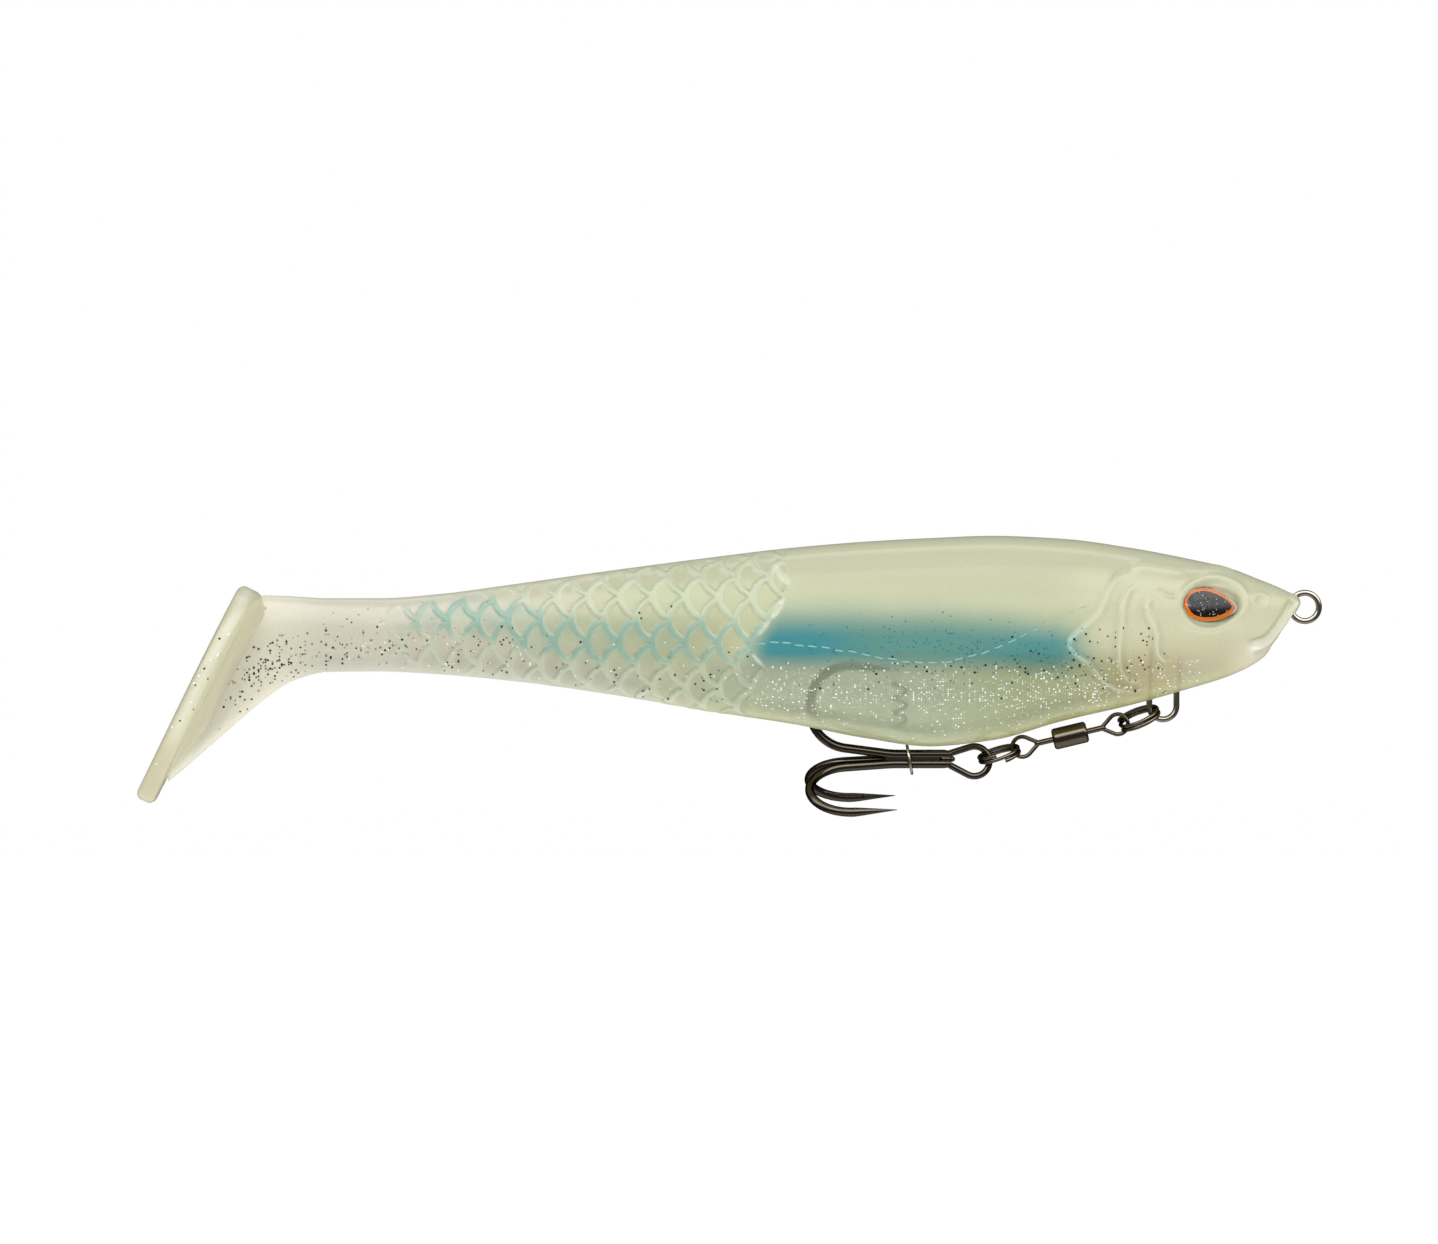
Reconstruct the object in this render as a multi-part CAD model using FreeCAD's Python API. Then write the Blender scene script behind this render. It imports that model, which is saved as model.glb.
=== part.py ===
"""A soft-bodied swimbait: one soft plastic fish on a wire harness, with a treble hook slung under its belly.

Frame: millimetres, +X towards the nose, +Z up, origin at the centre of the line tie at the nose.
The soft body is one moulding on the real lure. Here it is four solids that meet at round joints.
"""

import FreeCAD, Part

import math
import os

V = FreeCAD.Vector
AXIS_X, AXIS_Y, AXIS_Z = V(1, 0, 0), V(0, 1, 0), V(0, 0, 1)
ORIGIN = V(0, 0, 0)

# ---- soft body -----------------------------------------------------------------------------------
# Stations along the body: (x, back, belly, half width), from the lips to the thin tail stem.
BODY_STATIONS = [
    (-1.0, 1.7, 0.1, 0.8),
    (-2.4, 2.3, -2.2, 2.9),
    (-5.0, 3.5, -6.4, 5.0),
    (-8.0, 4.8, -9.5, 6.5),
    (-13.0, 6.7, -12.1, 8.2),
    (-20.0, 8.3, -14.3, 9.6),
    (-30.0, 10.2, -17.1, 10.9),
    (-42.0, 11.8, -19.9, 11.8),
    (-54.0, 12.3, -23.2, 12.1),
    (-65.0, 11.9, -24.3, 12.0),
    (-76.0, 11.3, -22.9, 11.4),
    (-89.0, 10.2, -20.4, 10.4),
    (-104.0, 8.4, -18.2, 9.0),
    (-120.0, 6.3, -15.4, 7.3),
    (-137.0, 3.9, -13.0, 5.5),
    (-150.0, 2.2, -11.8, 4.3),
    (-160.0, 1.5, -11.3, 3.6),
    (-169.0, 1.5, -11.4, 3.1),
    (-175.0, 1.8, -12.9, 2.9),
]
# The web under the stem, which runs into the paddle: its back edge lies inside the paddle.
WEB_STATIONS = [
    (-180.0, 2.2, -15.7, 2.7),
    (-185.0, -3.5, -20.0, 2.5),
    (-190.0, -13.5, -25.0, 2.3),
    (-194.0, -22.0, -28.2, 2.1),
]
SECTION_POWER = 2.2       # superellipse exponent of the body's cross-section
WIDEST_AT = 0.52          # height of the widest line, as a share of the section from the belly up
SECTION_POINTS = 16

# Paddle: a plate leaning back from the stem, seen along the back edge from its top corner.
PADDLE_TOP = V(-184.3, 0, 4.1)
PADDLE_LEAN = math.radians(26.4)
PADDLE_LENGTH = 41.0
PADDLE_RIM = 4.2          # plate thickness at the rim
PADDLE_HUB = 6.4          # plate thickness where it joins the web
PADDLE_ROUND = 1.4        # rounding of the rim
# Half outline of the paddle: (distance down the back edge, half width).
PADDLE_OUTLINE = [
    (0.6, 3.4), (3.5, 7.6), (9.0, 11.0), (16.0, 12.4),
    (24.0, 10.8), (31.0, 7.6), (36.5, 5.4), (40.4, 4.2),
]
HUB_OUTLINE_SHARE = 0.45  # how wide the raised hub is, against the paddle
HUB_FROM, HUB_TO = 4.0, 33.0

# Round joints between the body's solids: x of the upright axis and the radius of the rounded end.
JOINT_GAP = 0.3
BODY_JOINT = (-104.0, 10.4)
STEM_JOINT = (-150.0, 5.3)
PADDLE_JOINT = (-174.0, 3.6)
TALL = 80.0

# ---- harness wire, line tie and belly hanger -----------------------------------------------------
WIRE_R = 0.525
TIE_R = 2.45              # line tie, to the middle of the wire
TIE_NECK_R = 1.5          # bend where the tie's legs turn back into the nose
LEG_HALF_GAP = 0.62       # half the distance between the two wires behind the tie
HANGER_FRONT_X, HANGER_REAR_X = -22.2, -26.9
HANGER_BOTTOM_Z = -19.45
HANGER_BEND_R = 1.8
HARNESS_REAR_X = -30.0
HANGER_REAR_TOP_Z = -4.6

# ---- ballast -------------------------------------------------------------------------------------
BALLAST_FRONT_X, BALLAST_REAR_X = -12.0, -34.0
BALLAST_Z, BALLAST_R = -3.0, 4.2
MOULDED_GAP = 0.02        # room around a piece that the plastic is moulded over

# ---- eyes ----------------------------------------------------------------------------------------
EYE_CENTRE = V(-16.3, -8.55, 0.5)
EYE_YAW, EYE_PITCH = math.radians(13.0), math.radians(14.0)
EYE_OUTLINE = [
    (-4.9, 0.2), (-3.7, 2.4), (-0.9, 3.0), (1.8, 2.1),
    (4.9, -0.5), (2.3, -2.35), (-0.7, -3.0), (-3.9, -2.1),
]
PUPIL_OUTLINE = [
    (-4.3, 0.3), (-3.4, 1.9), (-1.4, 2.5), (1.2, 1.7),
    (3.3, 0.1), (1.6, -1.8), (-0.7, -2.4), (-3.3, -1.8),
]
EYE_DEPTH = 0.7           # socket depth under the skin
FOIL_T, INK_T = 0.25, 0.08
DOME_R, DOME_TOP = 9.0, 1.0
SOCKET_CLEARANCE = 0.06

# ---- hook slot in the belly ----------------------------------------------------------------------
SLOT_HALF_WIDTH = 2.1
SLOT_FRONT_X = -65.8
SLOT_STEP_X, SLOT_STEP_Z = -69.0, -12.2
SLOT_TOP_Z = -9.1
SLOT_REAR_R = 32.8        # rear wall, an arc about the treble's pivot
# Shallow grooves in the keel over the swivel's rear eye, the treble's eye and the keeper's ring:
# front, rear, top and half width.
GROOVES = [
    (-46.5, -52.0, -21.6, 0.75),
    (-52.0, -61.8, -23.15, 0.95),
    (-65.4, -71.6, -22.9, 3.3),
]

# ---- swivel --------------------------------------------------------------------------------------
SWIVEL_CENTRE = V(-40.6, 0, -22.25)
SWIVEL_RISE = math.radians(13.3)
BARREL_R, BARREL_HALF = 1.85, 3.05
BARREL_EDGE = 0.55
BARREL_WALL = 0.45
SWIVEL_SHAFT_R, SWIVEL_SHAFT_FIT = 0.5, 0.05
SWIVEL_HEAD_R, SWIVEL_HEAD_AT = 0.95, 1.55
SWIVEL_NECK_AT = 5.8
SWIVEL_EYE_R, SWIVEL_EYE_WIRE_R, SWIVEL_EYE_AT = 1.74, 0.36, 8.5

# ---- split rings ---------------------------------------------------------------------------------
RING_R, RING_WIRE_R = 3.46, 0.34
RING_PITCH = 0.71
RING_TURNS = 1.94
FRONT_RING_START, REAR_RING_START = -169.0, -79.0     # degrees round the ring to the cut end
# Where each ring's wire passes through its neighbours, in the plane of the body.
FRONT_RING_IN_SWIVEL = V(-31.85, 0, -20.45)
FRONT_RING_RISE, FRONT_RING_ROLL = math.radians(22.5), math.radians(15.0)
REAR_RING_IN_SWIVEL = V(-49.6, 0, -24.4)
REAR_RING_RISE, REAR_RING_ROLL = math.radians(18.5), math.radians(12.0)

# ---- treble hook ---------------------------------------------------------------------------------
HOOK_R = 0.8
HOOK_SPACING = 1.64       # distance between the middles of the wires in the shank
HOOK_ROLL = math.radians(3.0)
SHANK_Z = -26.3
SHANK_FRONT_X = -62.4
BRAZE_FRONT_X, BRAZE_REAR_X = -63.2, -72.6
BRAZE_FLAT = 0.6          # how far the solder stands out from the line between two wires
KINK_X, KINK = -71.5, math.radians(7.5)      # where the wires start to spread from the solder
KINK_REACH = 1.2
BEND_X, BEND_OUT, BEND_R = -78.65, 8.05, 7.05
POINT_IN = math.radians(5.7)                 # the point leans in towards the shank
BARB_AT, POINT_LENGTH = 1.2, 7.3             # both along the point from the end of the bend
POINT_R, TIP_R = 0.7, 0.06
BARB_HEIGHT = 0.45
BARB_LENGTH = 2.2
HOOK_EYE_R, HOOK_EYE_WIRE_R = 2.58, 0.58
HOOK_EYE_X, HOOK_EYE_DROP = -57.15, 0.4
CROTCH = [(0.0, 0.7), (0.7, 0.7), (1.4, 0.5)]    # metal between the two wires behind the eye: ahead, radius

# ---- corkscrew keeper ----------------------------------------------------------------------------
KEEPER_R = 0.25
KEEPER_RING_R, KEEPER_RING_X, KEEPER_RING_Y = 2.55, -68.4, 0.2
KEEPER_RING_LEAN = math.radians(10.0)
KEEPER_RING_OPEN = math.radians(28.0)
COIL_R, COIL_X, COIL_PITCH = 1.15, -70.2, 2.7
COIL_BOTTOM_Z, COIL_TURNS = -23.1, 3.6
COIL_FIRST_TURN = 0.22


def unit(angle):
    """A direction in the plane of the body, angle above +X."""
    return V(math.cos(angle), 0, math.sin(angle))


def rounded(points_wire, radius):
    """A round bar along a path."""
    start = points_wire.Edges[0].valueAt(points_wire.Edges[0].FirstParameter)
    along = points_wire.Edges[0].tangentAt(points_wire.Edges[0].FirstParameter)
    profile = Part.Wire(Part.makeCircle(radius, start, along))
    return points_wire.makePipeShell([profile], True, True)


def bar(path, radius):
    """A round wire swept along edges given in order."""
    return rounded(Part.Wire(path), radius)


def line(a, b):
    return Part.LineSegment(a, b).toShape()


def arc(a, middle, b):
    return Part.Arc(a, middle, b).toShape()


def smooth_bar(points, wire_r):
    """A round wire swept along a smooth curve through points."""
    curve = Part.BSplineCurve()
    curve.interpolate(points)
    return bar([curve.toShape()], wire_r)


def coil_point(radius, pitch, turn):
    """A point on a winding about the Z axis that starts at (radius, 0, 0)."""
    a = 2 * math.pi * turn
    return V(radius * math.cos(a), radius * math.sin(a), pitch * turn)


def coil_bar(radius, pitch, turns, wire_r):
    steps = round(12 * turns)
    return smooth_bar([coil_point(radius, pitch, turns * i / steps) for i in range(steps + 1)], wire_r)


def closed_curve(points):
    curve = Part.BSplineCurve()
    curve.interpolate(points, PeriodicFlag=True)
    return Part.Wire(curve.toShape())


def ball(radius, centre):
    return Part.makeSphere(radius, centre)


def fused(shapes):
    """One solid from shapes that overlap."""
    return shapes[0].multiFuse(shapes[1:]).removeSplitter()


# ---- soft body -----------------------------------------------------------------------------------
def section(x, back, belly, half_width):
    """The closed outline of the body at x."""
    middle = belly + WIDEST_AT * (back - belly)
    points = []
    for i in range(SECTION_POINTS):
        t = 2 * math.pi * i / SECTION_POINTS
        c, s = math.cos(t), math.sin(t)
        y = half_width * math.copysign(abs(c) ** (2 / SECTION_POWER), c)
        reach = back - middle if s > 0 else middle - belly
        z = middle + reach * math.copysign(abs(s) ** (2 / SECTION_POWER), s)
        points.append(V(x, y, z))
    return closed_curve(points)


def body_loft(stations):
    return Part.makeLoft([section(*s) for s in stations], True, False)


def paddle_point(down, across, out):
    """A point on the paddle: down its back edge, across the body, and out from its back face."""
    down_way = V(-math.sin(PADDLE_LEAN), 0, -math.cos(PADDLE_LEAN))
    out_way = V(math.cos(PADDLE_LEAN), 0, -math.sin(PADDLE_LEAN))
    return PADDLE_TOP + down_way * down + AXIS_Y * across + out_way * out


def paddle_plate():
    half = [paddle_point(d, w, 0) for d, w in PADDLE_OUTLINE]
    other = [paddle_point(d, -w, 0) for d, w in reversed(PADDLE_OUTLINE)]
    out_way = paddle_point(0, 0, 1) - paddle_point(0, 0, 0)
    plate = Part.Face(closed_curve(half + other)).extrude(out_way * PADDLE_RIM)
    rims = [e for e in plate.Edges if e.Length > PADDLE_LENGTH]
    plate = plate.makeFillet(PADDLE_ROUND, rims)
    inner = [(max(HUB_FROM, min(HUB_TO, d)), w * HUB_OUTLINE_SHARE) for d, w in PADDLE_OUTLINE[1:-1]]
    hub_wires = []
    for out, grow in ((PADDLE_RIM - 1.0, 1.5), (PADDLE_HUB, 1.0)):
        ring = [paddle_point(d, w * grow, out) for d, w in inner]
        ring += [paddle_point(d, -w * grow, out) for d, w in reversed(inner)]
        hub_wires.append(closed_curve(ring))
    hub = Part.makeLoft(hub_wires, True, True)
    return fused([plate, hub])


def half_space(joint, gap=0.0):
    """Everything behind a round joint."""
    x, radius = joint
    block = Part.makeBox(TALL * 2, TALL, TALL * 2, V(x - TALL * 2, -TALL / 2, -TALL))
    return block.fuse(Part.makeCylinder(radius + gap, TALL * 2, V(x, 0, -TALL), AXIS_Z))


def between(solid, front_joint, rear_joint):
    """The stretch of the body between two round joints."""
    piece = solid
    if front_joint:
        piece = piece.common(half_space(front_joint))
    if rear_joint:
        piece = piece.cut(half_space(rear_joint, JOINT_GAP))
    return piece


# ---- eyes ----------------------------------------------------------------------------------------
def eye_frame():
    """Places the eye's own axes (forward, up, out) on the side of the head."""
    out = V(math.sin(EYE_YAW) * math.cos(EYE_PITCH), -math.cos(EYE_YAW) * math.cos(EYE_PITCH), math.sin(EYE_PITCH))
    forward = V(math.cos(EYE_YAW), math.sin(EYE_YAW), 0)
    up = out.cross(forward)
    return FreeCAD.Matrix(
        forward.x, up.x, out.x, EYE_CENTRE.x,
        forward.y, up.y, out.y, EYE_CENTRE.y,
        forward.z, up.z, out.z, EYE_CENTRE.z,
        0, 0, 0, 1,
    )


def eye_prism(outline, low, high, grow=0.0):
    scale = 1 + grow / 4.0
    face = Part.Face(closed_curve([V(a * scale, b * scale, low) for a, b in outline]))
    return face.extrude(V(0, 0, high - low))


def eye_parts():
    """The foil, the pupil's ink and the clear dome of the right eye, and its socket."""
    foil_top = -EYE_DEPTH + FOIL_T
    ink_top = foil_top + INK_T
    foil = eye_prism(EYE_OUTLINE, -EYE_DEPTH, foil_top)
    ink = eye_prism(PUPIL_OUTLINE, foil_top, ink_top)
    dome = eye_prism(EYE_OUTLINE, foil_top, DOME_TOP + 1).common(ball(DOME_R, V(0, 0, DOME_TOP - DOME_R))).cut(ink)
    socket = eye_prism(EYE_OUTLINE, -EYE_DEPTH - MOULDED_GAP, DOME_TOP + 2, SOCKET_CLEARANCE)
    frame = eye_frame()
    return [s.transformGeometry(frame) for s in (foil, ink, dome, socket)]


def other_side(shape):
    return shape.mirror(ORIGIN, AXIS_Y)


# ---- harness -------------------------------------------------------------------------------------
def harness_path():
    """The wire from the ballast to the line tie, round it, back, down to the hanger and up into the ballast."""
    neck_z = LEG_HALF_GAP + TIE_NECK_R
    neck_x = -math.sqrt((TIE_R + TIE_NECK_R) ** 2 - neck_z**2)
    share = TIE_R / (TIE_R + TIE_NECK_R)
    on_tie = V(neck_x * share, 0, neck_z * share)
    on_leg = V(neck_x, 0, LEG_HALF_GAP)
    towards = math.atan2(on_tie.z - neck_z, on_tie.x - neck_x)
    halfway = (towards - math.pi / 2) / 2
    neck_mid = V(neck_x, 0, neck_z) + unit(halfway) * TIE_NECK_R

    def below(p):
        return V(p.x, 0, -p.z)

    r = HANGER_BEND_R
    turn = math.sqrt(0.5) * r
    corner = V(HANGER_FRONT_X + r, 0, -LEG_HALF_GAP - r)
    hanger_r = (HANGER_FRONT_X - HANGER_REAR_X) / 2
    hanger_z = HANGER_BOTTOM_Z + hanger_r
    hanger_mid = V(HANGER_FRONT_X - hanger_r, 0, HANGER_BOTTOM_Z)
    return [
        line(V(HARNESS_REAR_X, 0, LEG_HALF_GAP), on_leg),
        arc(on_leg, neck_mid, on_tie),
        arc(on_tie, V(TIE_R, 0, 0), below(on_tie)),
        arc(below(on_tie), below(neck_mid), below(on_leg)),
        line(below(on_leg), V(corner.x, 0, -LEG_HALF_GAP)),
        arc(V(corner.x, 0, -LEG_HALF_GAP), corner + V(-turn, 0, turn), V(HANGER_FRONT_X, 0, corner.z)),
        line(V(HANGER_FRONT_X, 0, corner.z), V(HANGER_FRONT_X, 0, hanger_z)),
        arc(V(HANGER_FRONT_X, 0, hanger_z), hanger_mid, V(HANGER_REAR_X, 0, hanger_z)),
        line(V(HANGER_REAR_X, 0, hanger_z), V(HANGER_REAR_X, 0, HANGER_REAR_TOP_Z)),
    ]


def ballast(radius=BALLAST_R, extra=0.0):
    """A lead slug with rounded ends, cast round the harness."""
    front, rear = BALLAST_FRONT_X - radius + extra, BALLAST_REAR_X + radius - extra
    core = Part.makeCylinder(radius, front - rear, V(rear, 0, BALLAST_Z), AXIS_X)
    return fused([core, ball(radius, V(front, 0, BALLAST_Z)), ball(radius, V(rear, 0, BALLAST_Z))])


# ---- slot ----------------------------------------------------------------------------------------
def treble_pivot():
    return REAR_RING_IN_SWIVEL - unit(REAR_RING_RISE) * (2 * RING_R)


def hook_slot():
    """The slit that the upper hook and the keeper lie in."""
    pivot = treble_pivot()
    low = -40.0
    rise = math.asin((SLOT_TOP_Z - pivot.z) / SLOT_REAR_R)
    top_rear = pivot + unit(math.pi - rise) * SLOT_REAR_R
    mid_rear = pivot + unit(math.pi - rise / 2) * SLOT_REAR_R
    end_rear = pivot + unit(math.pi) * SLOT_REAR_R
    path = [
        line(V(SLOT_FRONT_X, 0, low), V(SLOT_FRONT_X, 0, SLOT_STEP_Z)),
        line(V(SLOT_FRONT_X, 0, SLOT_STEP_Z), V(SLOT_STEP_X, 0, SLOT_STEP_Z)),
        line(V(SLOT_STEP_X, 0, SLOT_STEP_Z), V(SLOT_STEP_X, 0, SLOT_TOP_Z)),
        line(V(SLOT_STEP_X, 0, SLOT_TOP_Z), top_rear),
        arc(top_rear, mid_rear, end_rear),
        line(end_rear, V(end_rear.x, 0, low)),
        line(V(end_rear.x, 0, low), V(SLOT_FRONT_X, 0, low)),
    ]
    face = Part.Face(Part.Wire(path))
    face.translate(AXIS_Y * -SLOT_HALF_WIDTH)
    slot = face.extrude(AXIS_Y * (2 * SLOT_HALF_WIDTH))
    slot.rotate(V(0, 0, SHANK_Z), AXIS_X, math.degrees(HOOK_ROLL))
    return slot


# ---- swivel --------------------------------------------------------------------------------------
def along_swivel(shape):
    """Moves a shape made along X about the origin to the swivel's place."""
    turned = shape.copy()
    turned.rotate(ORIGIN, AXIS_Y, -math.degrees(SWIVEL_RISE))
    turned.translate(SWIVEL_CENTRE)
    return turned


def eye_loop(centre, radius, wire_r, neck_x, neck_half):
    """A teardrop loop of wire whose two ends meet its neck; the neck is on the shank's own line."""
    touches = []
    for start in (V(neck_x, 0, neck_half), V(neck_x, 0, -neck_half)):
        offset = start - centre
        swing = math.acos(radius / offset.Length)
        side = math.copysign(1, start.z) * math.copysign(1, neck_x - centre.x)
        touches.append(centre + unit(math.atan2(offset.z, offset.x) + side * swing) * radius)
    far = centre - V(math.copysign(radius, neck_x - centre.x), 0, 0)
    upper, lower = touches
    path = [line(V(neck_x, 0, neck_half), upper), arc(upper, far, lower), line(lower, V(neck_x, 0, -neck_half))]
    return bar(path, wire_r)


def swivel_eye(end):
    """One eye of the swivel with its shaft and the head that the barrel holds; end is +1 at the front, -1 behind."""
    shaft = Part.makeCylinder(SWIVEL_SHAFT_R, SWIVEL_NECK_AT - SWIVEL_HEAD_AT, V(SWIVEL_HEAD_AT, 0, 0), AXIS_X)
    neck = ball(SWIVEL_SHAFT_R * 1.1, V(SWIVEL_NECK_AT, 0, 0))
    head = ball(SWIVEL_HEAD_R, V(SWIVEL_HEAD_AT, 0, 0))
    loop = eye_loop(V(SWIVEL_EYE_AT, 0, 0), SWIVEL_EYE_R, SWIVEL_EYE_WIRE_R, SWIVEL_NECK_AT, 0.2)
    whole = fused([shaft, neck, head, loop])
    if end < 0:
        whole.rotate(ORIGIN, AXIS_Z, 180)
    return along_swivel(whole)


def swivel_barrel():
    body = Part.makeCylinder(BARREL_R, 2 * BARREL_HALF, V(-BARREL_HALF, 0, 0), AXIS_X)
    body = body.makeFillet(BARREL_EDGE, [e for e in body.Edges if e.Closed and e.Length > BARREL_R * 6])
    room_r = BARREL_R - BARREL_WALL
    room_half = BARREL_HALF - BARREL_WALL
    room = Part.makeCylinder(room_r, 2 * room_half, V(-room_half, 0, 0), AXIS_X)
    bore_r = SWIVEL_SHAFT_R + SWIVEL_SHAFT_FIT
    bore = Part.makeCylinder(bore_r, 4 * BARREL_HALF, V(-2 * BARREL_HALF, 0, 0), AXIS_X)
    return along_swivel(body.cut(room).cut(bore))


# ---- split rings ---------------------------------------------------------------------------------
def split_ring(centre, rise, roll, start_angle):
    """A two-turn ring about its centre; rise tips it along the body and roll tips it across."""
    ring = coil_bar(RING_R, RING_PITCH, RING_TURNS, RING_WIRE_R)
    ring.translate(V(0, 0, -RING_PITCH * RING_TURNS / 2))
    ring.rotate(ORIGIN, AXIS_Z, start_angle)
    along = unit(rise)
    flat_up = unit(rise + math.pi / 2)
    across = AXIS_Y * math.cos(roll) + flat_up * math.sin(roll)
    normal = along.cross(across)
    place = FreeCAD.Matrix(
        along.x, across.x, normal.x, centre.x,
        along.y, across.y, normal.y, centre.y,
        along.z, across.z, normal.z, centre.z,
        0, 0, 0, 1,
    )
    return ring.transformGeometry(place)


def front_ring_centre():
    return FRONT_RING_IN_SWIVEL + unit(FRONT_RING_RISE) * RING_R


def rear_ring_centre():
    return REAR_RING_IN_SWIVEL - unit(REAR_RING_RISE) * RING_R


# ---- treble --------------------------------------------------------------------------------------
def hook(start_y, start_z, fan, front_x):
    """One hook: shank, round bend, barb and point. fan is the angle of its plane about the shank, from +Y up."""
    fan_way = V(0, math.cos(fan), math.sin(fan))
    start = V(0, start_y, start_z)

    def at(x, out):
        return start + V(x, 0, 0) + fan_way * out

    def on_bend(angle):
        return at(BEND_X + BEND_R * math.cos(angle), BEND_OUT + BEND_R * math.sin(angle))

    leave = -math.pi / 2 - KINK
    arrive = -math.pi * 3 / 2 - POINT_IN
    spread = V(-math.cos(KINK), 0, 0) + fan_way * math.sin(KINK)
    kink_end = at(KINK_X, 0) + spread * KINK_REACH
    dip = KINK_REACH * math.tan(KINK / 4)
    kink_mid = at(KINK_X + dip * math.sin(KINK / 2), dip * math.cos(KINK / 2))
    path = [
        line(at(front_x, 0), at(KINK_X + KINK_REACH, 0)),
        arc(at(KINK_X + KINK_REACH, 0), kink_mid, kink_end),
        line(kink_end, on_bend(leave)),
        arc(on_bend(leave), on_bend((leave + arrive) / 2), on_bend(arrive)),
    ]
    wire = bar(path, HOOK_R)
    way = V(math.cos(POINT_IN), 0, 0) - fan_way * math.sin(POINT_IN)
    inward = V(-math.sin(POINT_IN), 0, 0) - fan_way * math.cos(POINT_IN)
    barb_root = on_bend(arrive) + way * BARB_AT
    point_base = Part.makeCone(HOOK_R, POINT_R, BARB_AT, on_bend(arrive), way)
    point = Part.makeCone(POINT_R, TIP_R, POINT_LENGTH - BARB_AT, barb_root, way)
    side = fan_way.cross(AXIS_X) * 0.16
    foot = barb_root + inward * (POINT_R * 0.5)
    corners = [foot + way * BARB_LENGTH, foot, foot + inward * BARB_HEIGHT - way * 0.3]
    outline = Part.makePolygon([c - side for c in corners + corners[:1]])
    barb = Part.Face(outline).extrude(side * 2)
    return fused([wire, point_base, point, barb])


def treble_parts():
    """The wire that makes the eye and two hooks, the third hook, and the solder that joins them."""
    half = HOOK_SPACING / 2
    third_y = HOOK_SPACING * math.sqrt(3) / 2
    top = math.pi / 2 + HOOK_ROLL
    near, far = top + 2 * math.pi / 3, top - 2 * math.pi / 3
    upper = hook(0, SHANK_Z + half, top, SHANK_FRONT_X)
    lower = hook(0, SHANK_Z - half, near, SHANK_FRONT_X)
    third = hook(third_y, SHANK_Z, far, SHANK_FRONT_X - 0.8)
    third = fused([third, ball(HOOK_R, V(SHANK_FRONT_X - 0.8, third_y, SHANK_Z))])
    loop = eye_loop(V(HOOK_EYE_X, 0, -HOOK_EYE_DROP), HOOK_EYE_R, HOOK_EYE_WIRE_R, SHANK_FRONT_X + 0.5, half)
    loop.translate(V(0, 0, SHANK_Z))
    cuffs = []
    for z in (SHANK_Z + half, SHANK_Z - half):
        cuffs.append(ball(HOOK_R, V(SHANK_FRONT_X, 0, z)))
        cuffs.append(Part.makeCone(HOOK_R * 0.98, HOOK_EYE_WIRE_R, 1.3, V(SHANK_FRONT_X, 0, z), AXIS_X))
    crotch = [ball(r, V(SHANK_FRONT_X + ahead, 0, SHANK_Z)) for ahead, r in CROTCH]
    main = fused([upper, lower, loop] + cuffs + crotch)
    centres = [(0, half), (third_y, 0), (0, -half)]
    corners = []
    for i, (y, z) in enumerate(centres):
        for other in (centres[i - 1], centres[(i + 1) % 3]):
            way = V(0, other[0] - y, other[1] - z).normalize()
            out = way.cross(AXIS_X)
            middle = V(0, third_y / 3, 0)
            if out.dot(V(0, y, z) - middle) < 0:
                out = out * -1
            corners.append(V(BRAZE_FRONT_X, y, SHANK_Z + z) + out * BRAZE_FLAT)
    block = Part.Face(Part.makePolygon(corners + corners[:1])).extrude(AXIS_X * (BRAZE_REAR_X - BRAZE_FRONT_X))
    braze = block.cut(main).cut(third)
    return main, third, braze


# ---- keeper --------------------------------------------------------------------------------------
def keeper():
    """A fine wire: a ring round the hook's shank that rises into a corkscrew."""
    centre = V(KEEPER_RING_X, KEEPER_RING_Y, SHANK_Z)
    lean = V(-math.sin(KEEPER_RING_LEAN), 0, math.cos(KEEPER_RING_LEAN))

    def on_ring(angle):
        return centre + (AXIS_Y * math.sin(angle) + lean * math.cos(angle)) * KEEPER_RING_R

    ring_steps = 18
    ring_turn = (2 * math.pi - KEEPER_RING_OPEN) / ring_steps
    points = [on_ring(KEEPER_RING_OPEN + ring_turn * i) for i in range(ring_steps + 1)]
    coil_foot = V(COIL_X, 0, COIL_BOTTOM_Z)
    turns = [COIL_FIRST_TURN + i / 12 for i in range(round(12 * (COIL_TURNS - COIL_FIRST_TURN)) + 1)]
    points += [coil_foot + coil_point(COIL_R, COIL_PITCH, turn) for turn in turns]
    whole = smooth_bar(points, KEEPER_R)
    whole.rotate(V(0, 0, SHANK_Z), AXIS_X, math.degrees(HOOK_ROLL))
    return whole


def keel_groove(front, rear, top, half_width):
    return Part.makeBox(front - rear, 2 * half_width, TALL, V(rear, -half_width, top - TALL))


def soft_parts(socket, harness_room):
    """The moulded body as four solids, with its sockets, slot and the room for the harness."""
    whole = body_loft(BODY_STATIONS + WEB_STATIONS)
    front = between(whole, None, BODY_JOINT)
    tools = [hook_slot(), socket, other_side(socket)] + [keel_groove(*g) for g in GROOVES]
    for tool in tools + list(harness_room):
        front = front.cut(tool)
    rear = between(whole, BODY_JOINT, STEM_JOINT)
    stem = between(whole, STEM_JOINT, PADDLE_JOINT)
    web = between(whole, PADDLE_JOINT, None)
    paddle = fused([web, paddle_plate()])
    return {"body_front": front, "body_rear": rear, "tail_stem": stem, "tail_paddle": paddle}


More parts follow.
